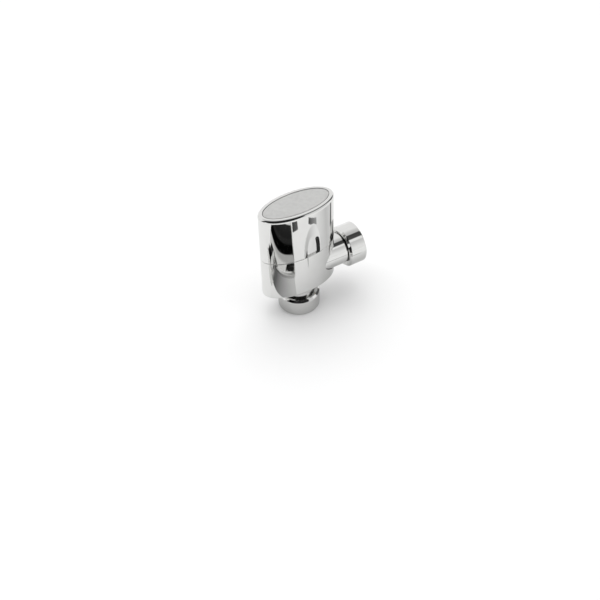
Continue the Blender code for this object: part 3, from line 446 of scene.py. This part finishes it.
def fine_lower_casing():
    """Fixed oval shell with rounded edges, a floor with the inlet hole and a port through its +X end."""
    surface = Surface()
    bottom, rim = lower_low.z, lower_high.z
    floor_top = bottom + LOWER_FLOOR
    wall_low, wall_high = bottom + LOWER_EDGE_ROUND, rim - RIM_EDGE_ROUND
    inner_long, inner_short = OVAL_LONG - LOWER_WALL, OVAL_SHORT - LOWER_WALL
    lip = 0.3 * MM
    inner_lip = 0.2 * MM
    fine = 0.1 * MM

    rim_corners = [
        (0.0, wall_high, 0.0),
        (0.0, rim, RIM_EDGE_ROUND),
        (-LOWER_WALL, rim, RIM_EDGE_ROUND),
        (-LOWER_WALL, wall_high, 0.0),
    ]
    add_oval_strip(surface, rim_corners)
    flat_edge = -LOWER_EDGE_ROUND
    foot_corners = [
        (0.0, wall_low, 0.0),
        (0.0, bottom, LOWER_EDGE_ROUND),
        (flat_edge - fine, bottom, 0.0),
    ]
    add_oval_strip(surface, foot_corners)
    inner_corners = [
        (-LOWER_WALL, floor_top + 2.0 * fine, 0.0),
        (-LOWER_WALL, floor_top, fine),
        (-LOWER_WALL - 2.0 * fine, floor_top, 0.0),
    ]
    add_oval_strip(surface, inner_corners)

    hole_corners = [
        (CASING_HOLE_RADIUS + lip, bottom, 0.0),
        (CASING_HOLE_RADIUS, bottom, lip),
        (CASING_HOLE_RADIUS, floor_top, inner_lip),
        (CASING_HOLE_RADIUS + inner_lip, floor_top, 0.0),
    ]
    hole_outline = rounded_outline(hole_corners, closed=False)
    hole_grid, hole_normals = sweep(hole_outline, 0.0, 0.0, even_angles(OVAL_STEPS))
    surface.add(hole_grid, hole_normals)
    add_flat_ring(surface, hole_grid[0], OVAL_LONG + flat_edge - fine, OVAL_SHORT + flat_edge - fine)
    inner_edge = LOWER_WALL + 2.0 * fine
    add_flat_ring(surface, hole_grid[-1], OVAL_LONG - inner_edge, OVAL_SHORT - inner_edge)

    outer = wall_with_port(surface, OVAL_LONG, OVAL_SHORT, wall_low, wall_high, CASING_HOLE_RADIUS + lip)
    inner = wall_with_port(
        surface, inner_long, inner_short, floor_top + 2.0 * fine, wall_high, CASING_HOLE_RADIUS + inner_lip
    )
    outer_rows, outer_normals = port_lip(*outer, OVAL_LONG, OVAL_SHORT, -lip)
    surface.add(outer_rows, outer_normals)
    inner_rows, inner_normals = port_lip(inner[0], -inner[1], inner[2], inner_long, inner_short, inner_lip)
    surface.add(inner_rows, inner_normals)
    bridge_port(surface, outer_rows[-1], inner_rows[-1])
    return surface.build("lower_casing_shell")


def add_flat_ring(surface, hole_row, long_half, short_half):
    """A flat ring between a round hole's row of points and an oval at the same height."""
    ring_rows = 6
    angle = even_angles(OVAL_STEPS)
    height = hole_row[:, 2]
    border = np.stack((long_half * np.cos(angle), short_half * np.sin(angle), height), axis=-1)
    share = np.linspace(0.0, 1.0, ring_rows)[:, None, None]
    rows = hole_row + (border - hole_row) * share
    surface.add(rows, np.broadcast_to(np.array((0.0, 0.0, 1.0)), rows.shape))


def bridge_port(surface, outer_row, inner_row):
    """The port's round bore between its outer and inner lips, whose points stand at different angles."""
    def angle_of(row):
        return np.arctan2(row[:, 2] - PORT_HEIGHT, row[:, 1]) % (2.0 * math.pi)

    outer_order = np.argsort(angle_of(outer_row))
    inner_order = np.argsort(angle_of(inner_row))
    start = surface.count
    rows = np.concatenate((outer_row[outer_order], inner_row[inner_order]))
    away = np.stack((0.0 * rows[:, 0], rows[:, 1], rows[:, 2] - PORT_HEIGHT), axis=-1)
    outer_angles = np.sort(angle_of(outer_row))
    inner_angles = np.sort(angle_of(inner_row))
    count = len(outer_angles)
    near, far = 0, 0
    while near < count or far < len(inner_angles):
        next_near = outer_angles[near + 1] if near + 1 < count else outer_angles[0] + 2.0 * math.pi
        next_far = inner_angles[far + 1] if far + 1 < len(inner_angles) else inner_angles[0] + 2.0 * math.pi
        here, there = start + near % count, start + count + far % len(inner_angles)
        if far >= len(inner_angles) or (near < count and next_near <= next_far):
            near += 1
            surface.faces.append([here, start + near % count, there, there])
        else:
            far += 1
            surface.faces.append([here, start + count + far % len(inner_angles), there, there])
    surface.points.append(rows)
    surface.normals.append(-unit(away))
    surface.count += len(rows)


def scoop_angles():
    """Angles round the oval, close together over the thumb scoop."""
    start, end = SCOOP_ANGLES
    fine_steps, coarse_steps = 180, 200
    fine_part = np.linspace(start, end, fine_steps, endpoint=False)
    coarse_part = np.linspace(end, start + 2.0 * math.pi, coarse_steps, endpoint=False)
    return np.concatenate((fine_part, coarse_part))


def press_scoop(grid, normals, offsets):
    """Sinks the almond-shaped scoop into the front wall, with a softened edge and an even wall behind."""
    share = np.clip(-offsets / HEAD_WALL, 0.0, 1.0)[:, None]
    across = (grid[..., 0] - SCOOP_X) / SCOOP_HALF_WIDTH
    upward = (grid[..., 2] - SCOOP_Z) / SCOOP_HALF_HEIGHT
    climb = (1.0 - np.sqrt(across**2 + upward**2)) / SCOOP_SIDE_SHARE
    past = np.clip(climb - 1.0 + SCOOP_SIDE_BLEND, 0.0, 2.0 * SCOOP_SIDE_BLEND)
    level = np.clip(climb, None, 1.0 + SCOOP_SIDE_BLEND) - past**2 / (4.0 * SCOOP_SIDE_BLEND)
    depth = SCOOP_DEPTH * level - share * (HEAD_WALL - SCOOP_WALL)
    depth[grid[..., 1] > 0.0] = -1.0
    near_edge = np.clip(depth + SCOOP_EDGE_ROUND, 0.0, 2.0 * SCOOP_EDGE_ROUND) ** 2
    soft = near_edge / (4.0 * SCOOP_EDGE_ROUND) + np.clip(depth - SCOOP_EDGE_ROUND, 0.0, None)
    grid[..., 1] += soft
    round_way = np.roll(grid, -1, axis=1) - np.roll(grid, 1, axis=1)
    up_way = np.gradient(grid, axis=0)
    moved = soft > 0.0
    normals[moved] = np.cross(round_way, up_way)[moved]


def fine_head_casing():
    """Turning oval cap: rounded rim, the plate's recess, a thumb scoop in front and the hollow below."""
    bottom, top = lower_high.z + JOINT_GAP, head_high.z
    recess_floor = pad_low.z - FIT_GAP
    recess_inset = PLATE_INSET - FIT_GAP
    edge = 0.15 * MM
    ceiling_round = 0.5 * MM
    corners = [
        (-OVAL_SHORT, HEAD_CEILING, 0.0),
        (-HEAD_WALL, HEAD_CEILING, ceiling_round),
        (-HEAD_WALL, bottom, RIM_EDGE_ROUND),
        (0.0, bottom, RIM_EDGE_ROUND),
        (0.0, top, HEAD_EDGE_ROUND),
        (-recess_inset, top, edge),
        (-recess_inset, recess_floor, edge),
        (-OVAL_SHORT, recess_floor, 0.0),
    ]
    outline = rounded_outline(corners, closed=False, straight_step=SCOOP_STEP)
    grid, normals = sweep(outline, OVAL_LONG, OVAL_SHORT, scoop_angles())
    press_scoop(grid, normals, outline[0][:, 0])
    surface = Surface()
    surface.add(grid, normals)
    return surface.build("head_casing_shell")


def fine_top_plate():
    """Flat oval plate with a finely broken edge."""
    lower_edge = 0.1 * MM
    upper_edge = 0.2 * MM
    corners = [
        (-OVAL_SHORT, plate_low.z, 0.0),
        (-PLATE_INSET, plate_low.z, lower_edge),
        (-PLATE_INSET, plate_high.z, upper_edge),
        (-OVAL_SHORT, plate_high.z, 0.0),
    ]
    surface = Surface()
    add_oval_strip(surface, corners)
    return surface.build("satin_top_plate")


# ---------------------------------------------------------------- inner posts and shelves of the casings
def flat_form(name, outline, holes, low, high, edge):
    """An upright prism on a drawn outline, with round holes and finely broken edges."""
    hole_steps = 48
    weld_distance = 0.001 * MM
    sharp_angle = math.radians(30.0)
    drawing = bpy.data.curves.new(name, "CURVE")
    drawing.dimensions = "2D"
    drawing.fill_mode = "BOTH"
    drawing.extrude = (high - low) / 2.0 - edge
    drawing.bevel_depth = edge
    drawing.bevel_resolution = 1
    drawing.offset = -edge
    circle = even_angles(hole_steps)
    rings = [np.array(outline)]
    for x, y, radius in holes:
        rings.append(np.stack((x + radius * np.cos(circle), y + radius * np.sin(circle)), axis=-1))
    for ring in rings:
        line = drawing.splines.new("POLY")
        line.points.add(len(ring) - 1)
        line.use_cyclic_u = True
        for point, (x, y) in zip(line.points, ring):
            point.co = (x, y, 0.0, 1.0)
    shape = bpy.data.objects.new(name, drawing)
    bpy.context.scene.collection.objects.link(shape)
    mesh = bpy.data.meshes.new_from_object(shape.evaluated_get(bpy.context.evaluated_depsgraph_get()))
    bpy.data.objects.remove(shape)
    form = bmesh.new()
    form.from_mesh(mesh)
    bmesh.ops.remove_doubles(form, verts=form.verts, dist=weld_distance)
    bmesh.ops.translate(form, verts=form.verts, vec=(0.0, 0.0, (low + high) / 2.0))
    form.to_mesh(mesh)
    form.free()
    mesh.name = name
    mesh.shade_smooth()
    mesh.set_sharp_from_angle(angle=sharp_angle)
    piece = bpy.data.objects.new(name, mesh)
    bpy.context.scene.collection.objects.link(piece)
    return piece


def casing_shelf(name, sign):
    """The lower casing's screw shelf at one end: the oval's tip beyond a straight inner edge."""
    arc_points = 60
    screw_hole_radius = 1.5 * MM
    edge = 0.1 * MM
    inner_long, inner_short = OVAL_LONG - LOWER_WALL, OVAL_SHORT - LOWER_WALL
    limit = math.acos(SHELF_INNER_X / inner_long)
    angle = np.linspace(-limit, limit, arc_points)
    outline = np.stack((sign * inner_long * np.cos(angle), sign * inner_short * np.sin(angle)), axis=-1)
    screw_hole = (sign * CASING_SCREW_X, 0.0, screw_hole_radius)
    return flat_form(name, outline, [screw_hole], SHELF_LOW, SHELF_HIGH, edge)


def head_post(name, sign):
    """A moulded post for one of the head's screws, hanging from the ceiling of the cap."""
    screw_low, screw_high = post_screw
    x = sign * (screw_low.x + screw_high.x) / 2.0
    bottom = CARRIER_TOP + FIT_GAP
    hole_top = screw_high.z + 4.0 * MM
    outer, bore = 3.0 * MM, 1.5 * MM
    edge = 0.2 * MM
    corners = [
        (0.0, hole_top, 0.0),
        (bore, hole_top, edge),
        (bore, bottom, edge),
        (outer, bottom, edge),
        (outer, HEAD_CEILING, edge),
        (0.0, HEAD_CEILING, 0.0),
    ]
    surface = Surface()
    surface.add(*sweep(rounded_outline(corners, closed=False), 0.0, 0.0, even_angles(TURN_STEPS // 2)))
    return surface.build(name, Matrix.Translation((x, 0.0, 0.0)))


# ---------------------------------------------------------------- materials
NOISE_LOW, NOISE_HIGH = 0.3, 0.7


def start_material(name, colour, metallic, roughness):
    """A material whose even values stand on its shader's own sockets."""
    paint = bpy.data.materials.new(name)
    paint.use_nodes = True
    shader = paint.node_tree.nodes["Principled BSDF"]
    shader.inputs["Base Color"].default_value = (*colour, 1.0)
    shader.inputs["Metallic"].default_value = metallic
    shader.inputs["Roughness"].default_value = roughness
    return paint, shader


def noise(paint, size, detail=3.0, stretch=(1.0, 1.0, 1.0)):
    """Noise over the object, with features of about this size; stretch makes them longer along an axis."""
    tree = paint.node_tree
    place = tree.nodes.new("ShaderNodeTexCoord")
    scale = tree.nodes.new("ShaderNodeMapping")
    scale.inputs["Scale"].default_value = tuple(1.0 / (size * part) for part in stretch)
    grain = tree.nodes.new("ShaderNodeTexNoise")
    grain.inputs["Scale"].default_value = 1.0
    grain.inputs["Detail"].default_value = detail
    tree.links.new(place.outputs["Object"], scale.inputs["Vector"])
    tree.links.new(scale.outputs["Vector"], grain.inputs["Vector"])
    return grain.outputs["Fac"]


def vary_value(paint, shader, socket, source, low, high):
    """Makes a shader value follow a noise, between two values."""
    tree = paint.node_tree
    span = tree.nodes.new("ShaderNodeMapRange")
    span.inputs["From Min"].default_value = NOISE_LOW
    span.inputs["From Max"].default_value = NOISE_HIGH
    span.inputs["To Min"].default_value = low
    span.inputs["To Max"].default_value = high
    tree.links.new(source, span.inputs["Value"])
    tree.links.new(span.outputs["Result"], shader.inputs[socket])


def vary_colour(paint, shader, source, first, second):
    """Makes the base colour follow a noise, between two colours."""
    tree = paint.node_tree
    ramp = tree.nodes.new("ShaderNodeValToRGB")
    ramp.color_ramp.elements[0].position = NOISE_LOW
    ramp.color_ramp.elements[0].color = (*first, 1.0)
    ramp.color_ramp.elements[1].position = NOISE_HIGH
    ramp.color_ramp.elements[1].color = (*second, 1.0)
    tree.links.new(source, ramp.inputs["Fac"])
    tree.links.new(ramp.outputs["Color"], shader.inputs["Base Color"])


def add_bump(paint, shader, *layers):
    """Stacks bumps, each a noise and the height of its relief in metres."""
    tree = paint.node_tree
    below = None
    for source, height in layers:
        bump = tree.nodes.new("ShaderNodeBump")
        bump.inputs["Distance"].default_value = height
        tree.links.new(source, bump.inputs["Height"])
        if below:
            tree.links.new(below, bump.inputs["Normal"])
        below = bump.outputs["Normal"]
    tree.links.new(below, shader.inputs["Normal"])


def chrome():
    """Bright chrome over polished brass: nearly a mirror, with a slow polishing waviness and faint haze."""
    paint, shader = start_material("bright_chrome", (0.72, 0.72, 0.72), metallic=1.0, roughness=0.03)
    vary_colour(paint, shader, noise(paint, 9.0 * MM), (0.71, 0.71, 0.70), (0.74, 0.74, 0.73))
    vary_value(paint, shader, "Roughness", noise(paint, 3.0 * MM, detail=6.0), 0.015, 0.045)
    add_bump(paint, shader, (noise(paint, 7.0 * MM, detail=1.0), 0.006 * MM))
    return paint


def satin_chrome():
    """Bead-blasted satin chrome with a fine grain and a soft, cloudy sheen."""
    paint, shader = start_material("satin_chrome", (0.62, 0.62, 0.61), metallic=1.0, roughness=0.40)
    vary_colour(paint, shader, noise(paint, 2.5 * MM, detail=8.0), (0.60, 0.60, 0.59), (0.66, 0.66, 0.65))
    vary_value(paint, shader, "Roughness", noise(paint, 6.0 * MM, detail=4.0), 0.36, 0.44)
    add_bump(paint, shader, (noise(paint, 0.22 * MM, detail=2.0), 0.012 * MM))
    return paint


def turned_metal(name, dark, light, roughness):
    """Machined metal: a little tarnish in clouds and fine marks left by the cutting tool."""
    paint, shader = start_material(name, light, metallic=1.0, roughness=roughness)
    vary_colour(paint, shader, noise(paint, 4.0 * MM, detail=6.0), dark, light)
    smooth, rough = roughness - 0.08, roughness + 0.10
    vary_value(paint, shader, "Roughness", noise(paint, 1.5 * MM, detail=5.0), smooth, rough)
    marks = noise(paint, 0.16 * MM, detail=1.0, stretch=(60.0, 60.0, 1.0))
    add_bump(paint, shader, (noise(paint, 2.0 * MM), 0.01 * MM), (marks, 0.006 * MM))
    return paint


def moulded(name, dark, light, roughness):
    """Moulded nylon with a fine eroded texture."""
    paint, shader = start_material(name, light, metallic=0.0, roughness=roughness)
    vary_colour(paint, shader, noise(paint, 3.0 * MM, detail=5.0), dark, light)
    smooth, rough = roughness - 0.08, roughness + 0.08
    vary_value(paint, shader, "Roughness", noise(paint, 1.0 * MM, detail=4.0), smooth, rough)
    add_bump(paint, shader, (noise(paint, 0.25 * MM, detail=3.0), 0.015 * MM))
    return paint


def fibre_washer():
    """Pressed vulcanised fibre with short matted strands."""
    paint, shader = start_material("pressed_fibre", (0.42, 0.14, 0.10), metallic=0.0, roughness=0.85)
    strands = noise(paint, 0.3 * MM, detail=8.0, stretch=(1.0, 4.0, 1.0))
    vary_colour(paint, shader, strands, (0.34, 0.10, 0.07), (0.48, 0.18, 0.13))
    add_bump(paint, shader, (strands, 0.03 * MM))
    return paint


FINISHES = {
    "chrome": chrome(),
    "satin_plate": satin_chrome(),
    "brass": turned_metal("machined_brass", (0.55, 0.38, 0.16), (0.74, 0.54, 0.26), 0.30),
    "copper": turned_metal("bare_copper", (0.40, 0.15, 0.07), (0.68, 0.30, 0.16), 0.32),
    "steel": turned_metal("drawn_steel", (0.50, 0.51, 0.52), (0.64, 0.65, 0.66), 0.28),
    "black_nylon": moulded("black_glass_nylon", (0.020, 0.020, 0.022), (0.035, 0.035, 0.038), 0.50),
    "white_nylon": moulded("natural_nylon", (0.70, 0.70, 0.66), (0.80, 0.80, 0.77), 0.48),
    "rubber": moulded("black_rubber", (0.015, 0.015, 0.015), (0.030, 0.030, 0.030), 0.75),
    "fibre": fibre_washer(),
}


def finish_piece(piece, body, slot, *nodes):
    """Paints a piece, sets it on its body and lets it stand for its frame nodes."""
    piece.data.materials.clear()
    piece.data.materials.append(FINISHES[slot])
    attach(piece, body)
    if nodes:
        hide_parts(*nodes)


# ---------------------------------------------------------------- the pieces in place
def outlet_inward(x):
    """A height along the outlet port's own axis, measured inwards from its nut's outer face."""
    return OUTLET_REACH - x


finish_piece(fine_lower_casing(), "valve", "chrome", "lower_casing")
finish_piece(casing_shelf("casing_shelf_left", -1.0), "valve", "chrome")
finish_piece(casing_shelf("casing_shelf_right", 1.0), "valve", "chrome")
finish_piece(fine_head_casing(), "head", "chrome", "head_casing")
finish_piece(head_post("head_post_left", -1.0), "head", "chrome")
finish_piece(head_post("head_post_right", 1.0), "head", "chrome")
finish_piece(fine_top_plate(), "head", "satin_plate", "top_plate")
finish_piece(fine_nut("inlet_union_nut", INLET_PLACE), "inlet_union", "chrome", "inlet_nut")
finish_piece(fine_nut("outlet_union_nut", OUTLET_PLACE), "outlet_union", "chrome", "outlet_nut")
finish_piece(fine_olive("inlet_copper_olive", INLET_PLACE), "inlet_ring", "copper", "inlet_olive")
finish_piece(fine_olive("outlet_copper_olive", OUTLET_PLACE), "outlet_ring", "copper", "outlet_olive")
INLET_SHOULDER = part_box("inlet_seal")[0].z - FIT_GAP
OUTLET_SHOULDER = outlet_inward(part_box("outlet_seal")[1].x + FIT_GAP)
OUTLET_TAIL_END = outlet_inward(outlet_low.x)
inlet_port = fine_spigot(
    "inlet_port_spigot", INLET_PLACE, INLET_TAIL_RADIUS, INLET_SHOULDER, inlet_high.z, INLET_WATERWAY
)
finish_piece(inlet_port, "valve", "chrome", "inlet_spigot")
outlet_port = fine_spigot(
    "outlet_port_spigot",
    OUTLET_PLACE,
    OUTLET_TAIL_RADIUS,
    OUTLET_SHOULDER,
    OUTLET_TAIL_END,
    OUTLET_WATERWAY,
)
finish_piece(outlet_port, "valve", "chrome", "outlet_spigot")
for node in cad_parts.values():
    if not node.hide_render:
        for place in node.material_slots:
            place.material = FINISHES[place.material.name.split(".")[0]]


# ---------------------------------------------------------------- camera
CAMERA_AZIMUTH = math.radians(-29.2)
CAMERA_ELEVATION = math.radians(45.4)
CAMERA_ROLL = math.radians(-1.8)
CAMERA_DISTANCE = 644.5 * MM
CAMERA_LENS = 60.3
CAMERA_SENSOR = 36.0
LOOK_LEFT_OF_AXIS = -1.0 * MM
LOOK_BELOW_CASING = 12.8 * MM
CAMERA_BACK = Vector(
    (
        math.sin(CAMERA_AZIMUTH) * math.cos(CAMERA_ELEVATION),
        -math.cos(CAMERA_AZIMUTH) * math.cos(CAMERA_ELEVATION),
        math.sin(CAMERA_ELEVATION),
    )
)


def add_camera():
    """The camera looks down at the valve's left front, a little below the casing's foot."""
    level_right = Vector((math.cos(CAMERA_AZIMUTH), math.sin(CAMERA_AZIMUTH), 0.0))
    level_up = CAMERA_BACK.cross(level_right)
    cosine, sine = math.cos(CAMERA_ROLL), math.sin(CAMERA_ROLL)
    right = level_right * cosine + level_up * sine
    up = level_up * cosine - level_right * sine
    aim = Vector((0.0, 0.0, lower_low.z)) - right * LOOK_LEFT_OF_AXIS - up * LOOK_BELOW_CASING
    lens = bpy.data.cameras.new("camera")
    lens.lens = CAMERA_LENS
    lens.sensor_width = CAMERA_SENSOR
    camera = bpy.data.objects.new("camera", lens)
    axes = Matrix((right, up, CAMERA_BACK)).transposed().to_4x4()
    camera.matrix_world = Matrix.Translation(aim + CAMERA_BACK * CAMERA_DISTANCE) @ axes
    bpy.context.scene.collection.objects.link(camera)
    bpy.context.scene.camera = camera


# ---------------------------------------------------------------- studio
FLOOR_LEVEL = -0.02 * MM
FLOOR_SIZE = 60.0
LIGHT_ANGLE = math.radians(75.0)
LIGHT_STRENGTH = 2.05
# The world's greys: each band is (how far a direction points along the axis, grey), and the bands multiply.
TENT_AXIS = Vector((0.0, 0.0, 1.0))
TENT_BANDS = [(0.80, 1.0), (0.92, 0.62)]
OPENING_BANDS = [(0.745, 1.0), (0.765, 0.035)]
BEAM_AXIS = Vector((0.0, -0.968, -0.25))
BEAM_BANDS = [
    (-0.24, 1.0),
    (-0.20, 0.10),
    (0.19, 0.10),
    (0.23, 1.0),
    (0.40, 1.0),
    (0.44, 0.68),
    (0.60, 0.78),
    (0.80, 1.0),
]


def add_floor():
    """Plain pale floor, wide enough to fill every view."""
    bpy.ops.mesh.primitive_plane_add(size=FLOOR_SIZE, location=(0.0, 0.0, FLOOR_LEVEL))
    floor = bpy.context.object
    floor.name = "studio_floor"
    paint = start_material("pale_floor", (0.90, 0.90, 0.90), metallic=0.0, roughness=0.9)[0]
    floor.data.materials.append(paint)


def add_reflector(name, corners, long_half, short_half, place):
    """A polished bar in front of the valve that only reflections see."""
    surface = Surface()
    outline = rounded_outline(corners, closed=False)
    surface.add(*sweep(outline, long_half, short_half, even_angles(OVAL_STEPS)))
    bar = surface.build(name, place)
    bar.data.materials.append(FINISHES["chrome"])
    hide_from_all_but_reflections(bar)


def add_reflectors():
    """Two polished bars on the floor in front, whose dark sides draw the bands on the valve's wall."""
    bar_start, bar_end = -68.0 * MM, -4.6 * MM
    bar_y = -62.7 * MM
    round_edge = 2.0 * MM
    lying = Matrix(
        (
            (0.0, 0.0, 1.0, 0.0),
            (1.0, 0.0, 0.0, bar_y),
            (0.0, 1.0, 0.0, OVAL_SHORT),
            (0.0, 0.0, 0.0, 1.0),
        )
    )
    bar_corners = [
        (-OVAL_SHORT, bar_start, 0.0),
        (0.0, bar_start, round_edge),
        (0.0, bar_end, round_edge),
        (-OVAL_SHORT, bar_end, 0.0),
    ]
    add_reflector("front_reflector", bar_corners, OVAL_LONG, OVAL_SHORT, lying)
    arm_x = -54.0 * MM
    arm_start, arm_step, arm_end = -40.0 * MM, -31.0 * MM, -19.0 * MM
    across = Matrix.Translation((arm_x, 0.0, NUT_RADIUS)) @ Matrix.Rotation(-QUARTER_TURN, 4, "X")
    arm_corners = [
        (0.0, arm_start, 0.0),
        (NECK_RADIUS, arm_start, round_edge),
        (NECK_RADIUS, arm_step, 0.0),
        (NUT_RADIUS, arm_step, round_edge),
        (NUT_RADIUS, arm_end, round_edge),
        (0.0, arm_end, 0.0),
    ]
    add_reflector("side_reflector", arm_corners, 0.0, 0.0, across)


def add_tones(tree, value, stops):
    """A ramp of greys that follows a value from 0 to 1 through (share, grey) stops."""
    ramp = tree.nodes.new("ShaderNodeValToRGB")
    tree.links.new(value, ramp.inputs["Fac"])
    marks = ramp.color_ramp.elements
    ready_marks = len(marks)
    for i, (share, grey) in enumerate(stops):
        mark = marks[i] if i < ready_marks else marks.new(1.0)
        mark.position = share
        mark.color = (grey, grey, grey, 1.0)
    return ramp.outputs["Color"]


def hide_from_all_but_reflections(thing):
    """Keeps a studio object out of the picture, the soft light and the shadows."""
    thing.visible_camera = False
    thing.visible_diffuse = False
    thing.visible_shadow = False
    thing.visible_transmission = False


def add_card(name, centre, length, width, turn, stops, upright=False):
    """A flat sheet that only reflections see; its tone follows (share of length, tone) stops."""
    bpy.ops.mesh.primitive_plane_add(size=1.0, location=centre)
    card = bpy.context.object
    card.name = name
    card.scale = (length, width, 1.0)
    card.rotation_euler = (QUARTER_TURN if upright else 0.0, 0.0, turn)
    paint, shader = start_material(name + "_paint", (0.5, 0.5, 0.5), metallic=0.0, roughness=0.9)
    tree = paint.node_tree
    place = tree.nodes.new("ShaderNodeTexCoord")
    split = tree.nodes.new("ShaderNodeSeparateXYZ")
    tree.links.new(place.outputs["Generated"], split.inputs["Vector"])
    tones = add_tones(tree, split.outputs["X"], stops)
    tree.links.new(tones, shader.inputs["Base Color"])
    card.data.materials.append(paint)
    hide_from_all_but_reflections(card)


def add_floor_cards():
    """Sheets on the floor that only reflections see: a wide soft painted shade at the right, a painted
    shadow under the front bar and three small dark ones.
    """
    lower = FLOOR_LEVEL + 0.01 * MM
    upper = FLOOR_LEVEL + 0.02 * MM
    # Painted shade: a floor sheet, darker across its middle, that stands in for the floor's shade at the
    # right; only reflections see it.
    add_card(
        "right_shade",
        centre=(53.3 * MM, -7.7 * MM, lower),
        length=120.0 * MM,
        width=160.0 * MM,
        turn=math.radians(60.0),
        stops=[(0.0, 0.90), (0.43, 0.58), (1.0, 0.90)],
    )
    # Painted shadow: a dark floor sheet, darkest near the bar, that stands in for the contact shadow the
    # front bar does not cast; only reflections see it.
    add_card(
        "bar_shade",
        centre=(-32.5 * MM, -59.5 * MM, upper),
        length=55.0 * MM,
        width=63.0 * MM,
        turn=0.0,
        stops=[(0.30, 0.12), (0.95, 0.62)],
    )
    add_card(
        "right_stripe",
        centre=(102.0 * MM, -9.0 * MM, upper),
        length=50.0 * MM,
        width=11.0 * MM,
        turn=0.0,
        stops=[(0.0, 0.10), (1.0, 0.10)],
    )
    add_card(
        "left_patch",
        centre=(8.0 * MM, -98.5 * MM, upper),
        length=17.0 * MM,
        width=11.0 * MM,
        turn=0.0,
        stops=[(0.0, 0.03), (1.0, 0.12)],
    )
    add_card(
        "right_patch",
        centre=(59.0 * MM, -80.0 * MM, upper),
        length=26.0 * MM,
        width=7.5 * MM,
        turn=math.radians(40.0),
        stops=[(0.0, 0.06), (1.0, 0.36)],
    )


def add_dark_flag():
    """A small black flag, edge-on to the flat wall, that darkens the right side of the scoop."""
    add_card(
        "dark_flag",
        centre=(8.3 * MM, -27.0 * MM, 37.5 * MM),
        length=10.0 * MM,
        width=19.0 * MM,
        turn=math.atan2(-0.90, 0.43),
        stops=[(0.0, 0.01), (1.0, 0.01)],
        upright=True,
    )


def add_overhead_light():
    """Even light from straight above, spread wide so that shadows are soft; it stays out of reflections."""
    light = bpy.data.lights.new("overhead_light", "SUN")
    light.angle = LIGHT_ANGLE
    light.energy = LIGHT_STRENGTH
    lamp = bpy.data.objects.new("overhead_light", light)
    lamp.visible_glossy = False
    lamp.visible_camera = False
    bpy.context.scene.collection.objects.link(lamp)


def add_world():
    """A light tent with a grey roof, a dark opening round the camera and a dark beam across the roof."""
    world = bpy.data.worlds.new("studio")
    world.use_nodes = True
    tree = world.node_tree
    place = tree.nodes.new("ShaderNodeTexCoord")

    def along(axis, stops):
        """A grey that follows how far a direction points along an axis, through (reach, grey) stops."""
        dot = tree.nodes.new("ShaderNodeVectorMath")
        dot.operation = "DOT_PRODUCT"
        dot.inputs[1].default_value = axis
        stretch = tree.nodes.new("ShaderNodeMapRange")
        stretch.inputs["From Min"].default_value = -1.0
        tree.links.new(place.outputs["Generated"], dot.inputs[0])
        tree.links.new(dot.outputs["Value"], stretch.inputs["Value"])
        shares = [((reach + 1.0) / 2.0, grey) for reach, grey in stops]
        return add_tones(tree, stretch.outputs["Result"], shares)

    light = along(TENT_AXIS, TENT_BANDS)
    for shade in (along(CAMERA_BACK, OPENING_BANDS), along(BEAM_AXIS, BEAM_BANDS)):
        mix = tree.nodes.new("ShaderNodeMix")
        mix.data_type = "RGBA"
        mix.blend_type = "MULTIPLY"
        mix.inputs["Factor"].default_value = 1.0
        first, second = [socket for socket in mix.inputs if socket.type == "RGBA"]
        tree.links.new(light, first)
        tree.links.new(shade, second)
        light = next(socket for socket in mix.outputs if socket.type == "RGBA")
    tree.links.new(light, tree.nodes["Background"].inputs["Color"])
    bpy.context.scene.world = world


add_camera()
add_floor()
add_reflectors()
add_floor_cards()
add_dark_flag()
add_overhead_light()
add_world()
bpy.context.scene.view_settings.view_transform = "Standard"
